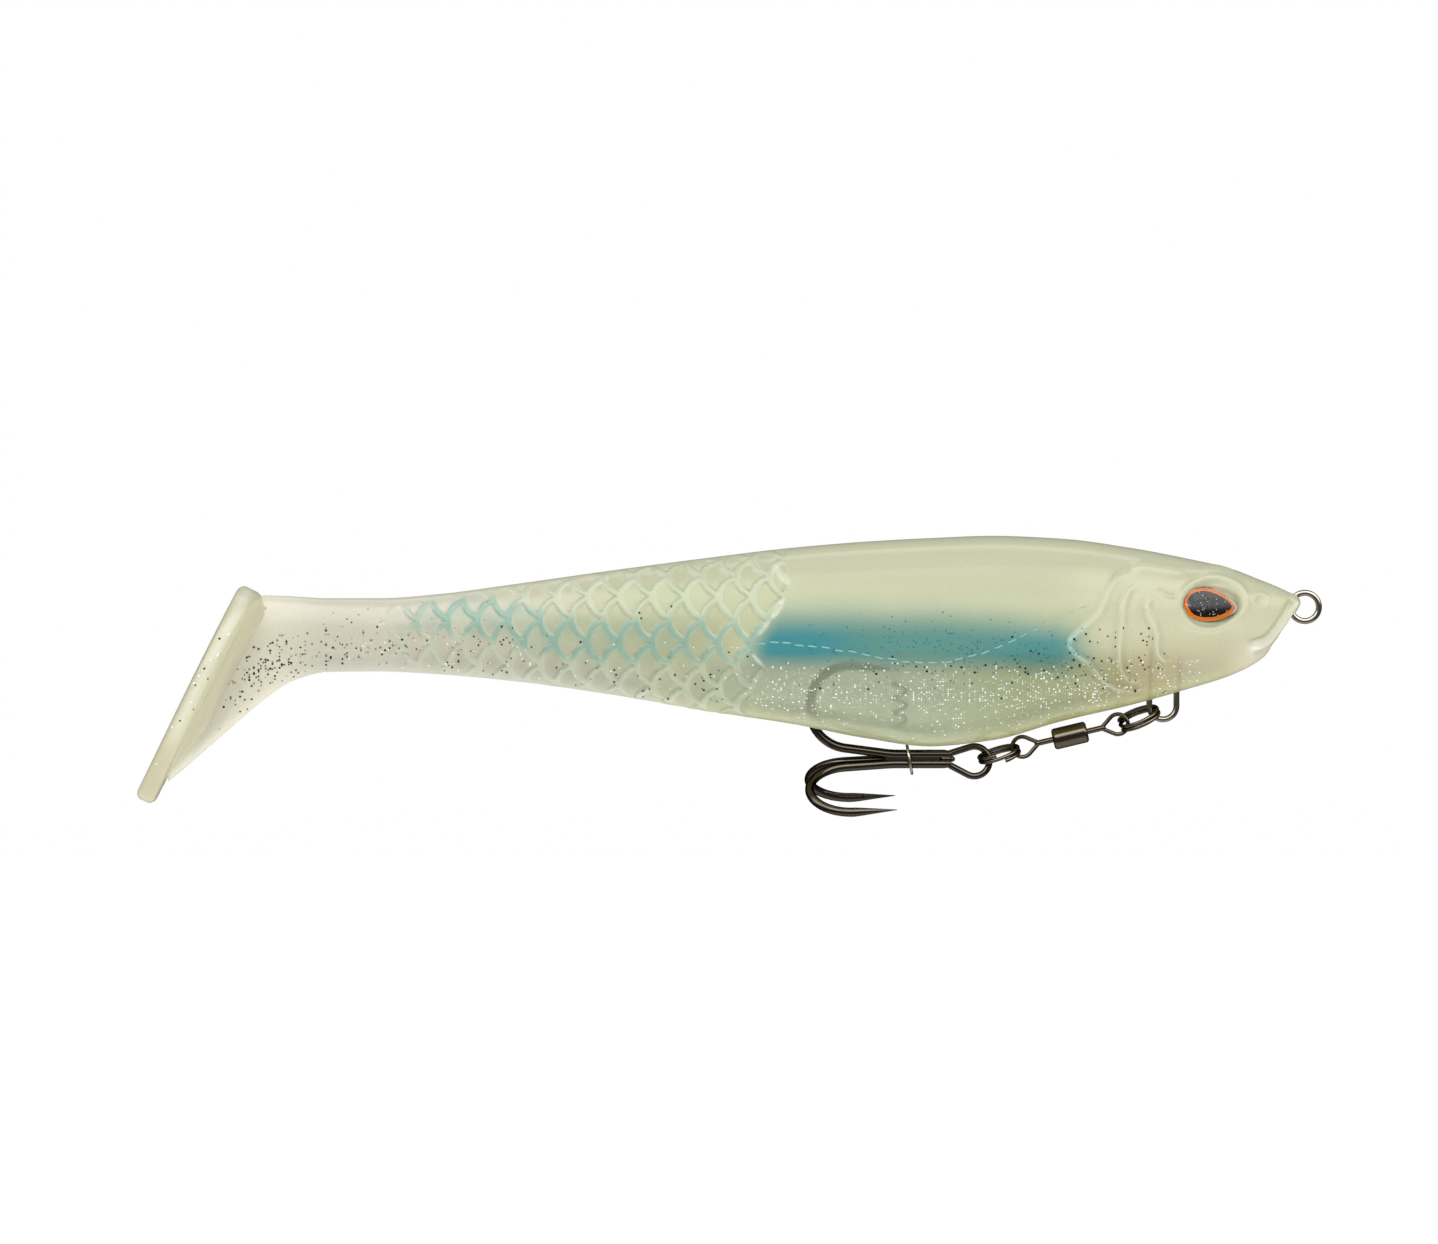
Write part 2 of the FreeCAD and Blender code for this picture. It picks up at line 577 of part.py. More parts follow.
def build():
    foil, ink, dome, socket = eye_parts()
    harness = bar(harness_path(), WIRE_R)
    harness_room = bar(harness_path(), WIRE_R + MOULDED_GAP)
    weight_room = ballast(BALLAST_R + MOULDED_GAP, MOULDED_GAP)
    parts = soft_parts(socket, (harness_room, weight_room))
    parts["harness_wire"] = harness
    parts["ballast_weight"] = ballast().cut(harness_room)
    for side, place in (("right", lambda s: s), ("left", other_side)):
        parts[f"{side}_eye_foil"] = place(foil)
        parts[f"{side}_eye_pupil"] = place(ink)
        parts[f"{side}_eye_dome"] = place(dome)
    parts["front_split_ring"] = split_ring(front_ring_centre(), FRONT_RING_RISE, FRONT_RING_ROLL, FRONT_RING_START)
    parts["rear_split_ring"] = split_ring(rear_ring_centre(), REAR_RING_RISE, REAR_RING_ROLL, REAR_RING_START)
    parts["swivel_front_eye"] = swivel_eye(1)
    parts["swivel_rear_eye"] = swivel_eye(-1)
    parts["swivel_barrel"] = swivel_barrel()
    main, third, braze = treble_parts()
    parts["treble_eye_and_hooks"] = main
    parts["treble_third_hook"] = third
    parts["treble_solder"] = braze
    parts["hook_keeper"] = keeper()
    return parts


def write(parts):
    os.makedirs("parts", exist_ok=True)
    for name, shape in parts.items():
        solids = shape.Solids
        shape = solids[0] if len(solids) == 1 else Part.makeCompound(solids)
        box = shape.BoundBox
        size = f"{box.XLength:.1f} x {box.YLength:.1f} x {box.ZLength:.1f}"
        print(f"{name}: {len(solids)} solid, valid {shape.isValid()}, {shape.Volume:.1f} mm3, {size} mm")
        shape.exportStep(f"parts/{name}.step")


write(build())
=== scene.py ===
"""Looks of a soft-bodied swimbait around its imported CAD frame. Metres, +X to the nose, +Z up."""

import math

import bpy
import numpy as np
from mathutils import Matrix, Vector


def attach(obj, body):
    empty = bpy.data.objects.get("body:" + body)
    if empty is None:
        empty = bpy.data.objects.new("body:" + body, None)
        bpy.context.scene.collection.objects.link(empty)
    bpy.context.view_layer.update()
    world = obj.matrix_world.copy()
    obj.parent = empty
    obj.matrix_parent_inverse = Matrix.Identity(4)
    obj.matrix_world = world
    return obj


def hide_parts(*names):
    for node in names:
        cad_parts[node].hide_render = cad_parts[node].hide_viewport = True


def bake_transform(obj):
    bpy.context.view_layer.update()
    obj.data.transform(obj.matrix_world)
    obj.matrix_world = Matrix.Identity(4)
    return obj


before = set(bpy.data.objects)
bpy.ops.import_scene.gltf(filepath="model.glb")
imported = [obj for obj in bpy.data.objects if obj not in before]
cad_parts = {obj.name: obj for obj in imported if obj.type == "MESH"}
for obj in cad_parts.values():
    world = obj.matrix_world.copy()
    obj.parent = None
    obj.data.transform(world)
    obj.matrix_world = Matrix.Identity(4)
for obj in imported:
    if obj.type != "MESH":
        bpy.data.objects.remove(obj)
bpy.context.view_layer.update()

MM = 0.001
rng = np.random.default_rng(20)

# ---- helpers --------------------------------------------------------------------------------------


def smooth(lo, hi, x):
    """0 below lo, 1 above hi, smooth between."""
    t = np.clip((np.asarray(x, float) - lo) / (hi - lo), 0, 1)
    return t * t * (3 - 2 * t)


def bump(x, centre, width):
    return np.exp(-(((x - centre) / width) ** 2))


def srgb(*rgb):
    """8-bit display colour to linear."""
    c = np.array(rgb, float) / 255
    return np.where(c <= 0.04045, c / 12.92, ((c + 0.055) / 1.055) ** 2.4)


def mix(a, b, t):
    t = np.asarray(t)[..., None]
    return a * (1 - t) + b * t


def new_mesh(name, verts_mm, faces):
    mesh = bpy.data.meshes.new(name)
    mesh.from_pydata((np.asarray(verts_mm) * MM).tolist(), [], [tuple(f) for f in faces])
    mesh.update()
    obj = bpy.data.objects.new(name, mesh)
    bpy.context.scene.collection.objects.link(obj)
    return obj


def shade_smooth(obj):
    obj.data.polygons.foreach_set("use_smooth", [True] * len(obj.data.polygons))
    obj.data.update()


def point_values(mesh, name, values):
    a = mesh.attributes.new(name, "FLOAT", "POINT")
    a.data.foreach_set("value", np.asarray(values, np.float32))


def point_colours(mesh, name, rgb):
    a = mesh.attributes.new(name, "FLOAT_COLOR", "POINT")
    rgba = np.concatenate([rgb, np.ones((len(rgb), 1))], 1)
    a.data.foreach_set("color", rgba.astype(np.float32).ravel())


# ---- body shape -----------------------------------------------------------------------------------
# Stations along the body in mm: x, back, belly, half width.
STATIONS = np.array([
    (-0.9, 1.3, 0.5, 0.5), (-1.4, 2.0, -0.6, 1.6), (-2.4, 2.4, -2.2, 2.9), (-5.0, 3.6, -6.4, 5.0),
    (-8.0, 4.8, -9.5, 6.5), (-13.0, 6.7, -12.1, 8.2), (-20.0, 8.3, -14.3, 9.6), (-30.0, 10.2, -17.1, 10.9),
    (-42.0, 11.8, -19.9, 11.8), (-54.0, 12.3, -23.2, 12.1), (-65.0, 11.9, -24.3, 12.0),
    (-76.0, 11.3, -22.9, 11.4), (-89.0, 10.2, -20.4, 10.4), (-104.0, 8.4, -18.2, 9.0),
    (-120.0, 6.3, -15.4, 7.3), (-137.0, 3.9, -13.0, 5.5), (-150.0, 2.2, -11.8, 4.3),
    (-160.0, 1.5, -11.3, 3.6), (-169.0, 1.5, -11.4, 3.1), (-175.0, 1.8, -12.9, 2.9),
    (-180.0, 2.0, -16.2, 2.7), (-185.0, -3.5, -20.4, 2.5), (-190.0, -13.0, -24.7, 2.3),
    (-193.5, -19.6, -27.7, 2.2), (-196.6, -26.6, -30.2, 2.0),
])
POWER, WIDEST = 2.2, 0.52
WEB_END = -196.6
SLOT = (-88.2, -65.8, 2.1)          # slot in the belly: rear, front, half width
SLOT_LIP, LIP_CLEAR = 0.9, 0.8       # height and clearness of the walls just inside it


def pchip(x, xs, ys):
    """Smooth curve through the stations that never overshoots them."""
    h = np.diff(xs)
    d = np.diff(ys) / h
    m = np.empty(len(xs))
    m[0], m[-1] = d[0], d[-1]
    same = d[:-1] * d[1:] > 0
    w1, w2 = 2 * h[1:] + h[:-1], h[1:] + 2 * h[:-1]
    with np.errstate(divide="ignore", invalid="ignore"):
        inner = (w1 + w2) / (w1 / d[:-1] + w2 / d[1:])
    m[1:-1] = np.where(same, inner, 0)
    i = np.clip(np.searchsorted(xs, x) - 1, 0, len(xs) - 2)
    t = (x - xs[i]) / h[i]
    a, b = (1 + 2 * t) * (1 - t) ** 2, t * (1 - t) ** 2
    c, e = t * t * (3 - 2 * t), t * t * (t - 1)
    return a * ys[i] + b * h[i] * m[i] + c * ys[i + 1] + e * h[i] * m[i + 1]


def profile(x):
    """Back, belly and half width at x."""
    xs = -STATIONS[:, 0]
    return [pchip(-np.asarray(x, float), xs, STATIONS[:, k]) for k in (1, 2, 3)]


def profile_at(x):
    """The same at one place, as plain numbers."""
    return [float(q[0]) for q in profile(np.array([x]))]


def ring(x, columns):
    """Points round the body at x, from the right of the keel over the back to the left of the keel,
    with the arc length of each from the widest line."""
    back, belly, half = profile_at(x)
    keel = min(SLOT[2], half * 0.25)
    middle = belly + WIDEST * (back - belly)
    t = np.linspace(-math.pi / 2, math.pi * 3 / 2, 1441)
    c, s = np.cos(t), np.sin(t)
    y = -half * np.sign(c) * np.abs(c) ** (2 / POWER)
    reach = np.where(s > 0, back - middle, middle - belly)
    z = middle + reach * np.sign(s) * np.abs(s) ** (2 / POWER)
    arc = np.concatenate([[0], np.cumsum(np.hypot(np.diff(y), np.diff(z)))])
    low = arc[np.argmax((np.abs(y) >= keel) & (arc < arc[-1] / 2))]
    want = np.linspace(low, arc[-1] - low, columns)
    yy, zz = np.interp(want, arc, y), np.interp(want, arc, z)
    widest_right = np.interp(0.0, t, arc)
    widest_left = np.interp(math.pi, t, arc)
    from_widest = np.where(want < arc[-1] / 2, want - widest_right, widest_left - want)
    return yy, zz, from_widest


# ---- relief ---------------------------------------------------------------------------------------
# Lines on the side of the head, as (x, z) in mm.
GILL = [(-30.0, 6.8), (-32.8, 5.0), (-34.3, 2.6), (-35.2, 0.3), (-36.2, -1.5), (-38.0, -3.1), (-40.1, -4.9),
        (-41.1, -6.3), (-40.3, -7.8), (-38.0, -9.5), (-36.6, -10.9), (-35.1, -12.6), (-32.8, -13.9),
        (-29.9, -14.4), (-27.1, -14.2)]
GILL_2 = [(-29.1, 4.1), (-30.8, 2.4), (-31.7, -0.2), (-32.1, -3.7), (-32.4, -6.6), (-32.3, -9.8), (-31.4, -11.8),
          (-29.9, -12.5), (-27.4, -12.3)]
GILL_3 = [(-27.2, 1.8), (-27.6, 0.0), (-27.3, -1.7), (-26.5, -3.1), (-25.9, -4.9), (-25.9, -7.1), (-25.4, -8.6),
          (-23.9, -9.7)]
CROWN = [(-30.0, 6.8), (-28.0, 7.2), (-26.2, 6.9), (-24.2, 6.6), (-22.2, 6.3), (-20.6, 5.9)]
NOTCH = [(-25.6, 3.3), (-24.6, 2.2), (-23.2, 1.9), (-22.4, 1.8)]
LIP = [(-1.6, 0.7), (-3.4, -2.0), (-5.2, -4.3), (-6.9, -6.2), (-9.0, -6.9)]
LIP_GROOVE = [(-2.6, 0.9), (-4.4, -1.9), (-6.1, -4.2), (-7.5, -5.4), (-9.8, -5.9)]
JAW_GROOVE = [(-2.0, -1.3), (-3.6, -4.0), (-5.2, -6.4), (-7.2, -7.6), (-9.4, -7.9)]
EYE_X, EYE_Z = -16.3, 0.5


def curve_points(points, n=60):
    """A smooth line through points."""
    p = np.array(points, float)
    u = np.concatenate([[0], np.cumsum(np.hypot(*np.diff(p, axis=0).T))])
    q = np.linspace(0, u[-1], n)
    ext = np.vstack([2 * p[0] - p[1], p, 2 * p[-1] - p[-2]])
    i = np.clip(np.searchsorted(u, q) - 1, 0, len(p) - 2)
    t = ((q - u[i]) / (u[i + 1] - u[i]))[:, None]
    a, b, c, d = ext[i], ext[i + 1], ext[i + 2], ext[i + 3]
    return 0.5 * (2 * b + (c - a) * t + (2 * a - 5 * b + 4 * c - d) * t**2 + (3 * b - 3 * c + d - a) * t**3)


def along(x, z, points):
    """Distance to a line, which side of it, and how far along it (0 to 1)."""
    line = curve_points(points)
    best = np.full(x.shape, 1e9)
    side = np.zeros(x.shape)
    share = np.zeros(x.shape)
    near = (x > line[:, 0].min() - 9) & (x < line[:, 0].max() + 9)
    xs, zs = x[near], z[near]
    b, sd, sh = best[near], side[near], share[near]
    for k in range(len(line) - 1):
        p, v = line[k], line[k + 1] - line[k]
        t = np.clip(((xs - p[0]) * v[0] + (zs - p[1]) * v[1]) / (v @ v), 0, 1)
        dx, dz = xs - p[0] - t * v[0], zs - p[1] - t * v[1]
        d = np.hypot(dx, dz)
        closer = d < b
        b = np.where(closer, d, b)
        sd = np.where(closer, np.sign(v[0] * dz - v[1] * dx), sd)
        sh = np.where(closer, (k + t) / (len(line) - 1), sh)
    best[near], side[near], share[near] = b, sd, sh
    return best, side, share


def ends(share, fade=0.12):
    return smooth(0, fade, share) * smooth(0, fade, 1 - share)


# Where the smooth body ends and the scales start: heights, and x at each.
SCALE_EDGE = np.array([(-20, -97.5), (-16, -96.4), (-13, -94.8), (-10.6, -93.4), (-8.0, -95.0), (-6.1, -96.0),
                       (-5.2, -94.8), (-2.0, -92.2), (1.0, -90.2), (4.0, -89.8), (12.0, -89.8)])
SCALE_PITCH, SCALE_ROW = 5.75, 4.05     # along the body, and from row to row round it
SCALE_LONG, SCALE_TALL = 0.88, 1.11     # half sizes of a scale in those pitches


def scale_front(z):
    return np.interp(z, SCALE_EDGE[:, 0], SCALE_EDGE[:, 1])


def scales(x, v):
    """Overlapping fish scales: distance from a scale's middle to its rim (0 to 1), place along it, and a seed."""
    behind = -x - 105.7
    u = behind / SCALE_PITCH + 0.0002 * behind**2 * (behind > 0)
    row = (v + 1.95) / SCALE_ROW
    nearest = np.full(x.shape, 1e9)
    rim = np.zeros(x.shape)
    lean = np.zeros(x.shape)
    seed = np.zeros(x.shape)
    for dj in (-1, 0, 1):
        j = np.round(row) + dj
        offset = 0.5 * (np.mod(j, 2) == 1)
        for di in (-1, 0, 1, 2):
            cu = np.floor(u - offset) + di + offset - 0.55
            r = np.hypot((u - cu) / SCALE_LONG, (row - j) / SCALE_TALL)
            take = (r < 1) & (cu < nearest)
            nearest = np.where(take, cu, nearest)
            rim = np.where(take, r, rim)
            lean = np.where(take, u - cu, lean)
            seed = np.where(take, np.mod(np.sin(cu * 12.9 + j * 78.2) * 43758.5, 1.0), seed)
    return rim, lean, seed


def relief(x, y, z, v):
    """Height above the plain body, and the masks that the colours use."""
    side = smooth(0.8, 2.5, np.abs(y))
    h = np.zeros(x.shape)
    gill, _, gt = along(x, z, GILL)
    ahead = gill * np.where(inside_gill(x, z), 1, -1)
    h += side * 0.55 * np.exp(-gill / 5.5) * smooth(-0.25, 0.3, ahead) * ends(gt, 0.08)
    h += side * 0.30 * bump(gill, 0, 0.45) * ends(gt)
    g2, _, t2 = along(x, z, GILL_2)
    g3, _, t3 = along(x, z, GILL_3)
    crown, _, tc = along(x, z, CROWN)
    notch, _, tn = along(x, z, NOTCH)
    h += side * (0.30 * bump(g2, 0, 0.36) - 0.18 * bump(g2, 0.95, 0.5)) * ends(t2)
    h += side * (0.30 * bump(g3, 0, 0.36) - 0.16 * bump(g3, 0.95, 0.5)) * ends(t3)
    h += side * 0.24 * bump(crown, 0, 0.6) * smooth(0, 0.15, 1 - tc)
    h -= side * 0.32 * bump(notch, 0, 0.5) * ends(tn)
    ex, ez = x - EYE_X, z - EYE_Z - 0.08 * (x - EYE_X)
    e = np.hypot(ex / 5.9, ez / 4.5)
    h += side * (0.40 * bump(e, 1.0, 0.12) - 0.32 * bump(e, 0.74, 0.15))
    lip, _, tl = along(x, z, LIP)
    groove, _, tg = along(x, z, LIP_GROOVE)
    jaw, _, tj = along(x, z, JAW_GROOVE)
    lip_side = smooth(0.15, 0.6, np.abs(y))
    h += lip_side * 0.60 * bump(lip, 0, 0.60) * smooth(0, 0.1, 1 - tl)
    h -= lip_side * 0.50 * bump(groove, 0, 0.45) * smooth(0, 0.1, 1 - tg)
    h -= lip_side * 0.40 * bump(jaw, 0, 0.40) * smooth(0, 0.1, 1 - tj)
    corner = np.hypot(x + 9.2, z + 6.9)
    h += lip_side * 0.45 * bump(corner, 0, 1.1)
    nostril = np.hypot((x + 7.8) / 1.1, (z - 1.0) / 1.0)
    h += side * (0.15 * bump(nostril, 1.25, 0.32) - 0.26 * bump(nostril, 0, 0.75))
    h -= side * 0.16 * bump(np.hypot(x + 9.9, z - 3.1), 0, 1.0)
    h += side * 0.25 * bump(x, -9.3, 1.0) * bump(z, 2.2, 1.6)
    # the brow that runs back from above the eye, and the shallow cheek below it
    h += side * 0.30 * bump(z - 0.30 * (x + 16), 6.4, 1.3) * smooth(-24, -19, x) * smooth(-5, -10, x)
    h -= side * 0.35 * bump(x, -13.0, 3.2) * bump(z, -4.6, 2.0)
    rim, lean, seed = scales(x, v)
    edge_fade = smooth(1.4, 4.2, np.abs(y))
    zone = (x < scale_front(z)) * smooth(-162.5, -153.0, x) * edge_fade
    band = smooth(0.765, 0.815, rim)
    shelf = smooth(0.30, 1.0, lean) * 0.5 - 0.25
    h += zone * ((0.7 * shelf - 0.10) * (1 - band) + 0.10 * band)
    ledge = scale_front(z) - x
    h -= edge_fade * 0.16 * bump(ledge, 0.5, 0.5) * smooth(-16, -12, z)
    return h, dict(gill=gill, gt=gt, g2=g2, t2=t2, g3=g3, t3=t3, e=e, lip=lip, groove=groove,
                   zone=zone, band=band, rim=rim, lean=lean, seed=seed, corner=corner)


def inside_gill(x, z):
    """Ahead of the gill cover's rear edge."""
    line = curve_points(GILL)
    inside = np.zeros(x.shape, bool)
    close = (x > -46) & (x < -10)
    xs, zs = x[close], z[close]
    ring_pts = np.vstack([line, [(-10, -14.2), (-10, 6.8)]])
    hit = np.zeros(xs.shape, bool)
    for (x0, z0), (x1, z1) in zip(ring_pts, np.roll(ring_pts, -1, axis=0)):
        if z0 == z1:
            continue
        cross = (z0 > zs) != (z1 > zs)
        at = x0 + (zs - z0) * (x1 - x0) / (z1 - z0)
        hit ^= cross & (xs < at)
    inside[close] = hit
    return inside


# ---- body colours ---------------------------------------------------------------------------------
CREAM = srgb(204, 208, 170)
# the strip along the back: partly its own tone, partly painted light that lifts the darker shading at the top edge
BACK_LIFTED = srgb(212, 215, 182)
SHINE_BAND_SHADE = srgb(197, 200, 162)
# painted shade for the band on the upper flank where the light's shine falls
BLUE = srgb(58, 142, 150)
TEAL_GREY = srgb(98, 150, 138)
BELLY = srgb(188, 197, 166)
KEEL = srgb(184, 187, 138)
HEAD = srgb(214, 213, 180)
CHEEK = srgb(198, 191, 158)
STEM = srgb(226, 222, 204)
PADDLE = srgb(214, 209, 174)
BAND_TEAL = srgb(148, 192, 176)
BAND_PALE = srgb(204, 216, 188)
# painted highlight colour for ridges, scale rims and facets
RIDGE_HIGHLIGHT = srgb(228, 232, 206)

TAIL_SHADE = srgb(196, 198, 182)
# the web's paler end before the paddle: partly the plastic's cream, partly painted light lifting the shade beside the
# paddle
TAIL_END_LIFTED = srgb(244, 240, 218)
CHIN = srgb(214, 208, 182)
LOW_CELL = srgb(176, 170, 158)
GILL_TEAL = srgb(150, 214, 206)
# painted highlight colour for the lip and the corner of the jaw
LIP_HIGHLIGHT = srgb(240, 240, 222)
# painted highlight colour for the paddle's side
PADDLE_HIGHLIGHT = srgb(243, 241, 218)
PADDLE_RIM = srgb(216, 210, 180)

# Painted highlights, leaf-shaped, on the facets at the edge of the scales: middle, turn, half length, half width.
FACET_HIGHLIGHTS = [(-90.6, 5.6, -0.9, 2.6, 0.75), (-91.2, -0.2, 1.05, 2.4, 0.6), (-93.6, -3.6, 0.85, 1.9, 0.4),
          (-94.6, -9.4, -0.8, 1.9, 0.45), (-190.6, -22.9, 1.03, 4.3, 0.5)]

# Where the hanger's two legs show through the jaw: place, lower end, upper end.
WIRE_SHADOWS = [(-26.9, -18.0, -6.0), (-21.9, -16.0, -7.5)]


def paint(x, y, z, m):
    """Colour and clearness of the plastic, with some painted light and shade."""
    back, belly, _ = profile(x)
    height = (z - belly) / (back - belly)
    c = np.broadcast_to(CREAM, x.shape + (3,)).copy()
    # painted shade along the band where the light's shine falls on the upper flank, and more painted shade over the
    # upper flank
    c = mix(c, SHINE_BAND_SHADE, 0.6 * bump(z, back * 0.35, 3.6) * smooth(-100, -60, x))
    c = mix(c, c * 0.92, bump(z, 5.0, 5.5) * smooth(-96, -84, x) * smooth(-36, -48, x))
    # the back strip, painted lighter against the darker shading along the top edge
    c = mix(c, BACK_LIFTED, smooth(0.80, 0.90, height))
    head = smooth(-44, -30, x)
    c = mix(c, HEAD, head * 0.8 * smooth(-9, -3, z) * (1 - 0.6 * smooth(0.82, 0.92, height)))
    c = mix(c, CHEEK, head * smooth(-3.5, -9.5, z))
    # belly
    low = smooth(-7.5, -10.5, z) * smooth(-112, -96, x) * (1 - head)
    c = mix(c, BELLY, low)
    keel = smooth(3.4, 0.6, z - belly) * smooth(-112, -96, x)
    c = mix(c, KEEL, keel * 0.75)
    # blue stripe
    wave = 0.5 * np.sin(x * 0.21) + 0.35 * np.sin(x * 0.47 + 1)
    drop = 2.6 * smooth(-66, -44, x)
    stripe = smooth(3.6 + wave * 0.5 - drop, -5.6 - 0.5 * drop, z) ** 1.2
    stripe *= smooth(-12.2 + wave * 0.6 - 0.35 * drop, -7.6 - 0.3 * drop, z)
    left = smooth(-98.5, -92.5, x - 0.55 * np.clip(z + 7, 0, 9))
    right = smooth(-33.5, -43.5, x + 0.35 * np.abs(z + 8.0))
    stripe = stripe * left * right
    deep = np.clip(bump(np.hypot((x + 88) / 1.9, z + 7.0), 0, 5.0) + 0.42 * bump(x, -46, 8) + 0.16, 0, 1)
    c = mix(c, mix(np.broadcast_to(TEAL_GREY, c.shape), BLUE, deep), np.clip(stripe, 0, 1) * 0.97)
    # tail
    tail = smooth(-108, -158, x)
    c = mix(c, STEM, tail * 0.9)
    c = mix(c, TAIL_SHADE, 0.75 * smooth(-104, -122, x) * smooth(0.30, 0.10, height) * smooth(-184, -172, x))
    # paler web before the paddle, partly painted light against the shade beside it
    c = mix(c, TAIL_END_LIFTED, 0.75 * smooth(-168, -180, x))
    c = mix(c, CHIN, smooth(-15, -9, x) * smooth(-4, -7, z))
    c = mix(c, c * np.array([0.91, 0.89, 0.73]), smooth(-66, -46, x) * smooth(-18, -26, x) * smooth(-7, -11, z))
    # scales
    zone, band = m["zone"], m["band"]
    middle = -5.9 + 5.6 * smooth(-121, -152, x)
    mid = smooth(4.9, 2.7, np.abs(z - middle)) * smooth(-162, -150, x)
    mid *= 1 - 0.6 * smooth(-104, -97, x) * smooth(-3.8, -2.4, z)
    band_colour = mix(np.broadcast_to(BAND_PALE, c.shape), BAND_TEAL, mid * 0.95)
    ripple = 0.5 + 0.5 * np.sin(x * 0.83 + 2.1 * m["seed"]) * np.sin(z * 0.9 + x * 0.31)
    wash = mid * smooth(-96, -118, x) * np.clip(ripple, 0, 1)
    c = mix(c, BAND_TEAL, 0.42 * wash * zone)
    c = mix(c, band_colour, zone * band * (0.58 + 0.25 * mid * (0.55 + 0.45 * smooth(-100, -120, x))))
    inner = zone * (1 - band)
    # painted shade: each cell's inside is darker and browner towards its rear rim
    c = mix(c, c * np.array([0.90, 0.89, 0.85]), inner * (0.25 + 0.5 * m["seed"]) * smooth(-0.1, 0.7, m["lean"]))
    low_cells = smooth(0.42, 0.22, height) * smooth(-99, -103, x)
    c = mix(c, LOW_CELL, 0.55 * inner * low_cells * bump(m["rim"], 0.30, 0.30) * smooth(0.0, 0.6, m["lean"]))
    # painted highlights on the leaf-shaped facets where the smooth body steps down to the scales
    for fx, fz, turn, length, width in FACET_HIGHLIGHTS:
        a, b = math.cos(turn), math.sin(turn)
        along_it, across_it = (x - fx) * a + (z - fz) * b, (z - fz) * a - (x - fx) * b
        c = mix(c, RIDGE_HIGHLIGHT, 0.75 * smooth(1.0, 0.75, np.hypot(along_it / length, across_it / width)))
    # a thin painted highlight along each scale's rim
    edge = bump(m["rim"], 0.79, 0.020) * zone
    c = mix(c, RIDGE_HIGHLIGHT, edge * 0.45)
    # the moulded lines on the head get a painted highlight along the crest and painted shade beside it
    for d, t in ((m["gill"], m["gt"]), (m["g2"], m["t2"]), (m["g3"], m["t3"])):
        c = mix(c, RIDGE_HIGHLIGHT, 0.55 * bump(d, 0, 0.24) * ends(t))
        c = mix(c, c * 0.93, 0.8 * bump(d, 0.85, 0.38) * ends(t))
    c = mix(c, GILL_TEAL, 0.75 * bump(m["gill"], 0.05, 0.26) * bump(z, -6.4, 2.6) * (x < -36))
    # painted highlight on the lip and the jaw's corner bulge, painted shade in the groove above the lip and in the ring
    # groove round the eye
    c = mix(c, LIP_HIGHLIGHT, 0.6 * bump(m["lip"], 0, 0.45) + 0.5 * bump(m["corner"], 0, 0.9))
    c = mix(c, c * 0.84, 0.8 * bump(m["groove"], 0, 0.4))
    c = mix(c, c * 0.86, 0.7 * bump(m["e"], 0.80, 0.08) * (np.abs(y) > 1))
    # the buried wires of the hanger show faintly
    for wire_x, low_z, high_z in WIRE_SHADOWS:
        c = mix(c, c * 0.80, bump(x, wire_x, 0.34) * smooth(low_z, low_z + 1.5, z) * smooth(high_z, high_z - 2.5, z))
    # a painted lighter strip, 3 mm above the belly's edge, lifting the dark band of shade where the clearness fades in
    c = mix(c, np.minimum(c * 1.08, 1), bump(z - belly, 3.0, 1.5) * smooth(-106, -98, x) * smooth(-46, -54, x))
    # how much of the light passes through: belly, chin, low scales, low tail, the slot; less at the very edge
    clear = 0.46 * smooth(-6.8, -11.5, z) * smooth(-120, -92, x) * smooth(-8, -20, x)
    clear = np.maximum(clear, 0.32 * smooth(-8, -13, z) * smooth(-6, -12, x))
    clear = np.maximum(clear, 0.30 * smooth(-92, -108, x) * smooth(2.0, -7.5, z))
    clear = np.maximum(clear, 0.20 * smooth(-150, -163, x) * smooth(2.0, -4.0, z))
    clear += 0.14 * smooth(-95, -88, x) * smooth(-58, -66, x) * smooth(-8.0, -10.5, z)
    clear *= (0.25 + 0.75 * smooth(0.3, 3.4, z - belly)) * (1 - 0.55 * smooth(-36, -28, x))
    return np.clip(c, 0, 1), np.clip(clear, 0, 1)


# ---- materials ------------------------------------------------------------------------------------


def material(name):
    m = bpy.data.materials.new(name)
    m.use_nodes = True
    tree = m.node_tree
    return m, tree.nodes, tree.links, tree.nodes["Principled BSDF"]


def soft_plastic(name, rough=0.34):
    """Glossy translucent plastic with fine pearl, coloured and cleared by the mesh's own values."""
    m, nodes, links, p = material(name)
    colour = nodes.new("ShaderNodeAttribute")
    colour.attribute_name = "Paint"
    clear = nodes.new("ShaderNodeAttribute")
    clear.attribute_name = "Clear"
    coords = nodes.new("ShaderNodeTexCoord")
    grain = nodes.new("ShaderNodeTexNoise")
    grain.inputs["Scale"].default_value = 5200
    grain.inputs["Detail"].default_value = 2
    links.new(coords.outputs["Object"], grain.inputs["Vector"])
    pearl = nodes.new("ShaderNodeMapRange")
    pearl.inputs["From Min"].default_value = 0.3
    pearl.inputs["From Max"].default_value = 0.7
    pearl.inputs["To Min"].default_value = 0.94
    pearl.inputs["To Max"].default_value = 1.06
    links.new(grain.outputs["Fac"], pearl.inputs["Value"])
    tint = nodes.new("ShaderNodeVectorMath")
    tint.operation = "SCALE"
    links.new(colour.outputs["Color"], tint.inputs[0])
    links.new(pearl.outputs["Result"], tint.inputs["Scale"])
    links.new(tint.outputs["Vector"], p.inputs["Base Color"])
    links.new(clear.outputs["Fac"], p.inputs["Transmission Weight"])
    p.inputs["Roughness"].default_value = rough
    p.inputs["IOR"].default_value = 1.16
    p.inputs["Coat Weight"].default_value = 0.75
    p.inputs["Coat Roughness"].default_value = 0.16
    p.inputs["Coat IOR"].default_value = 1.45
    return m


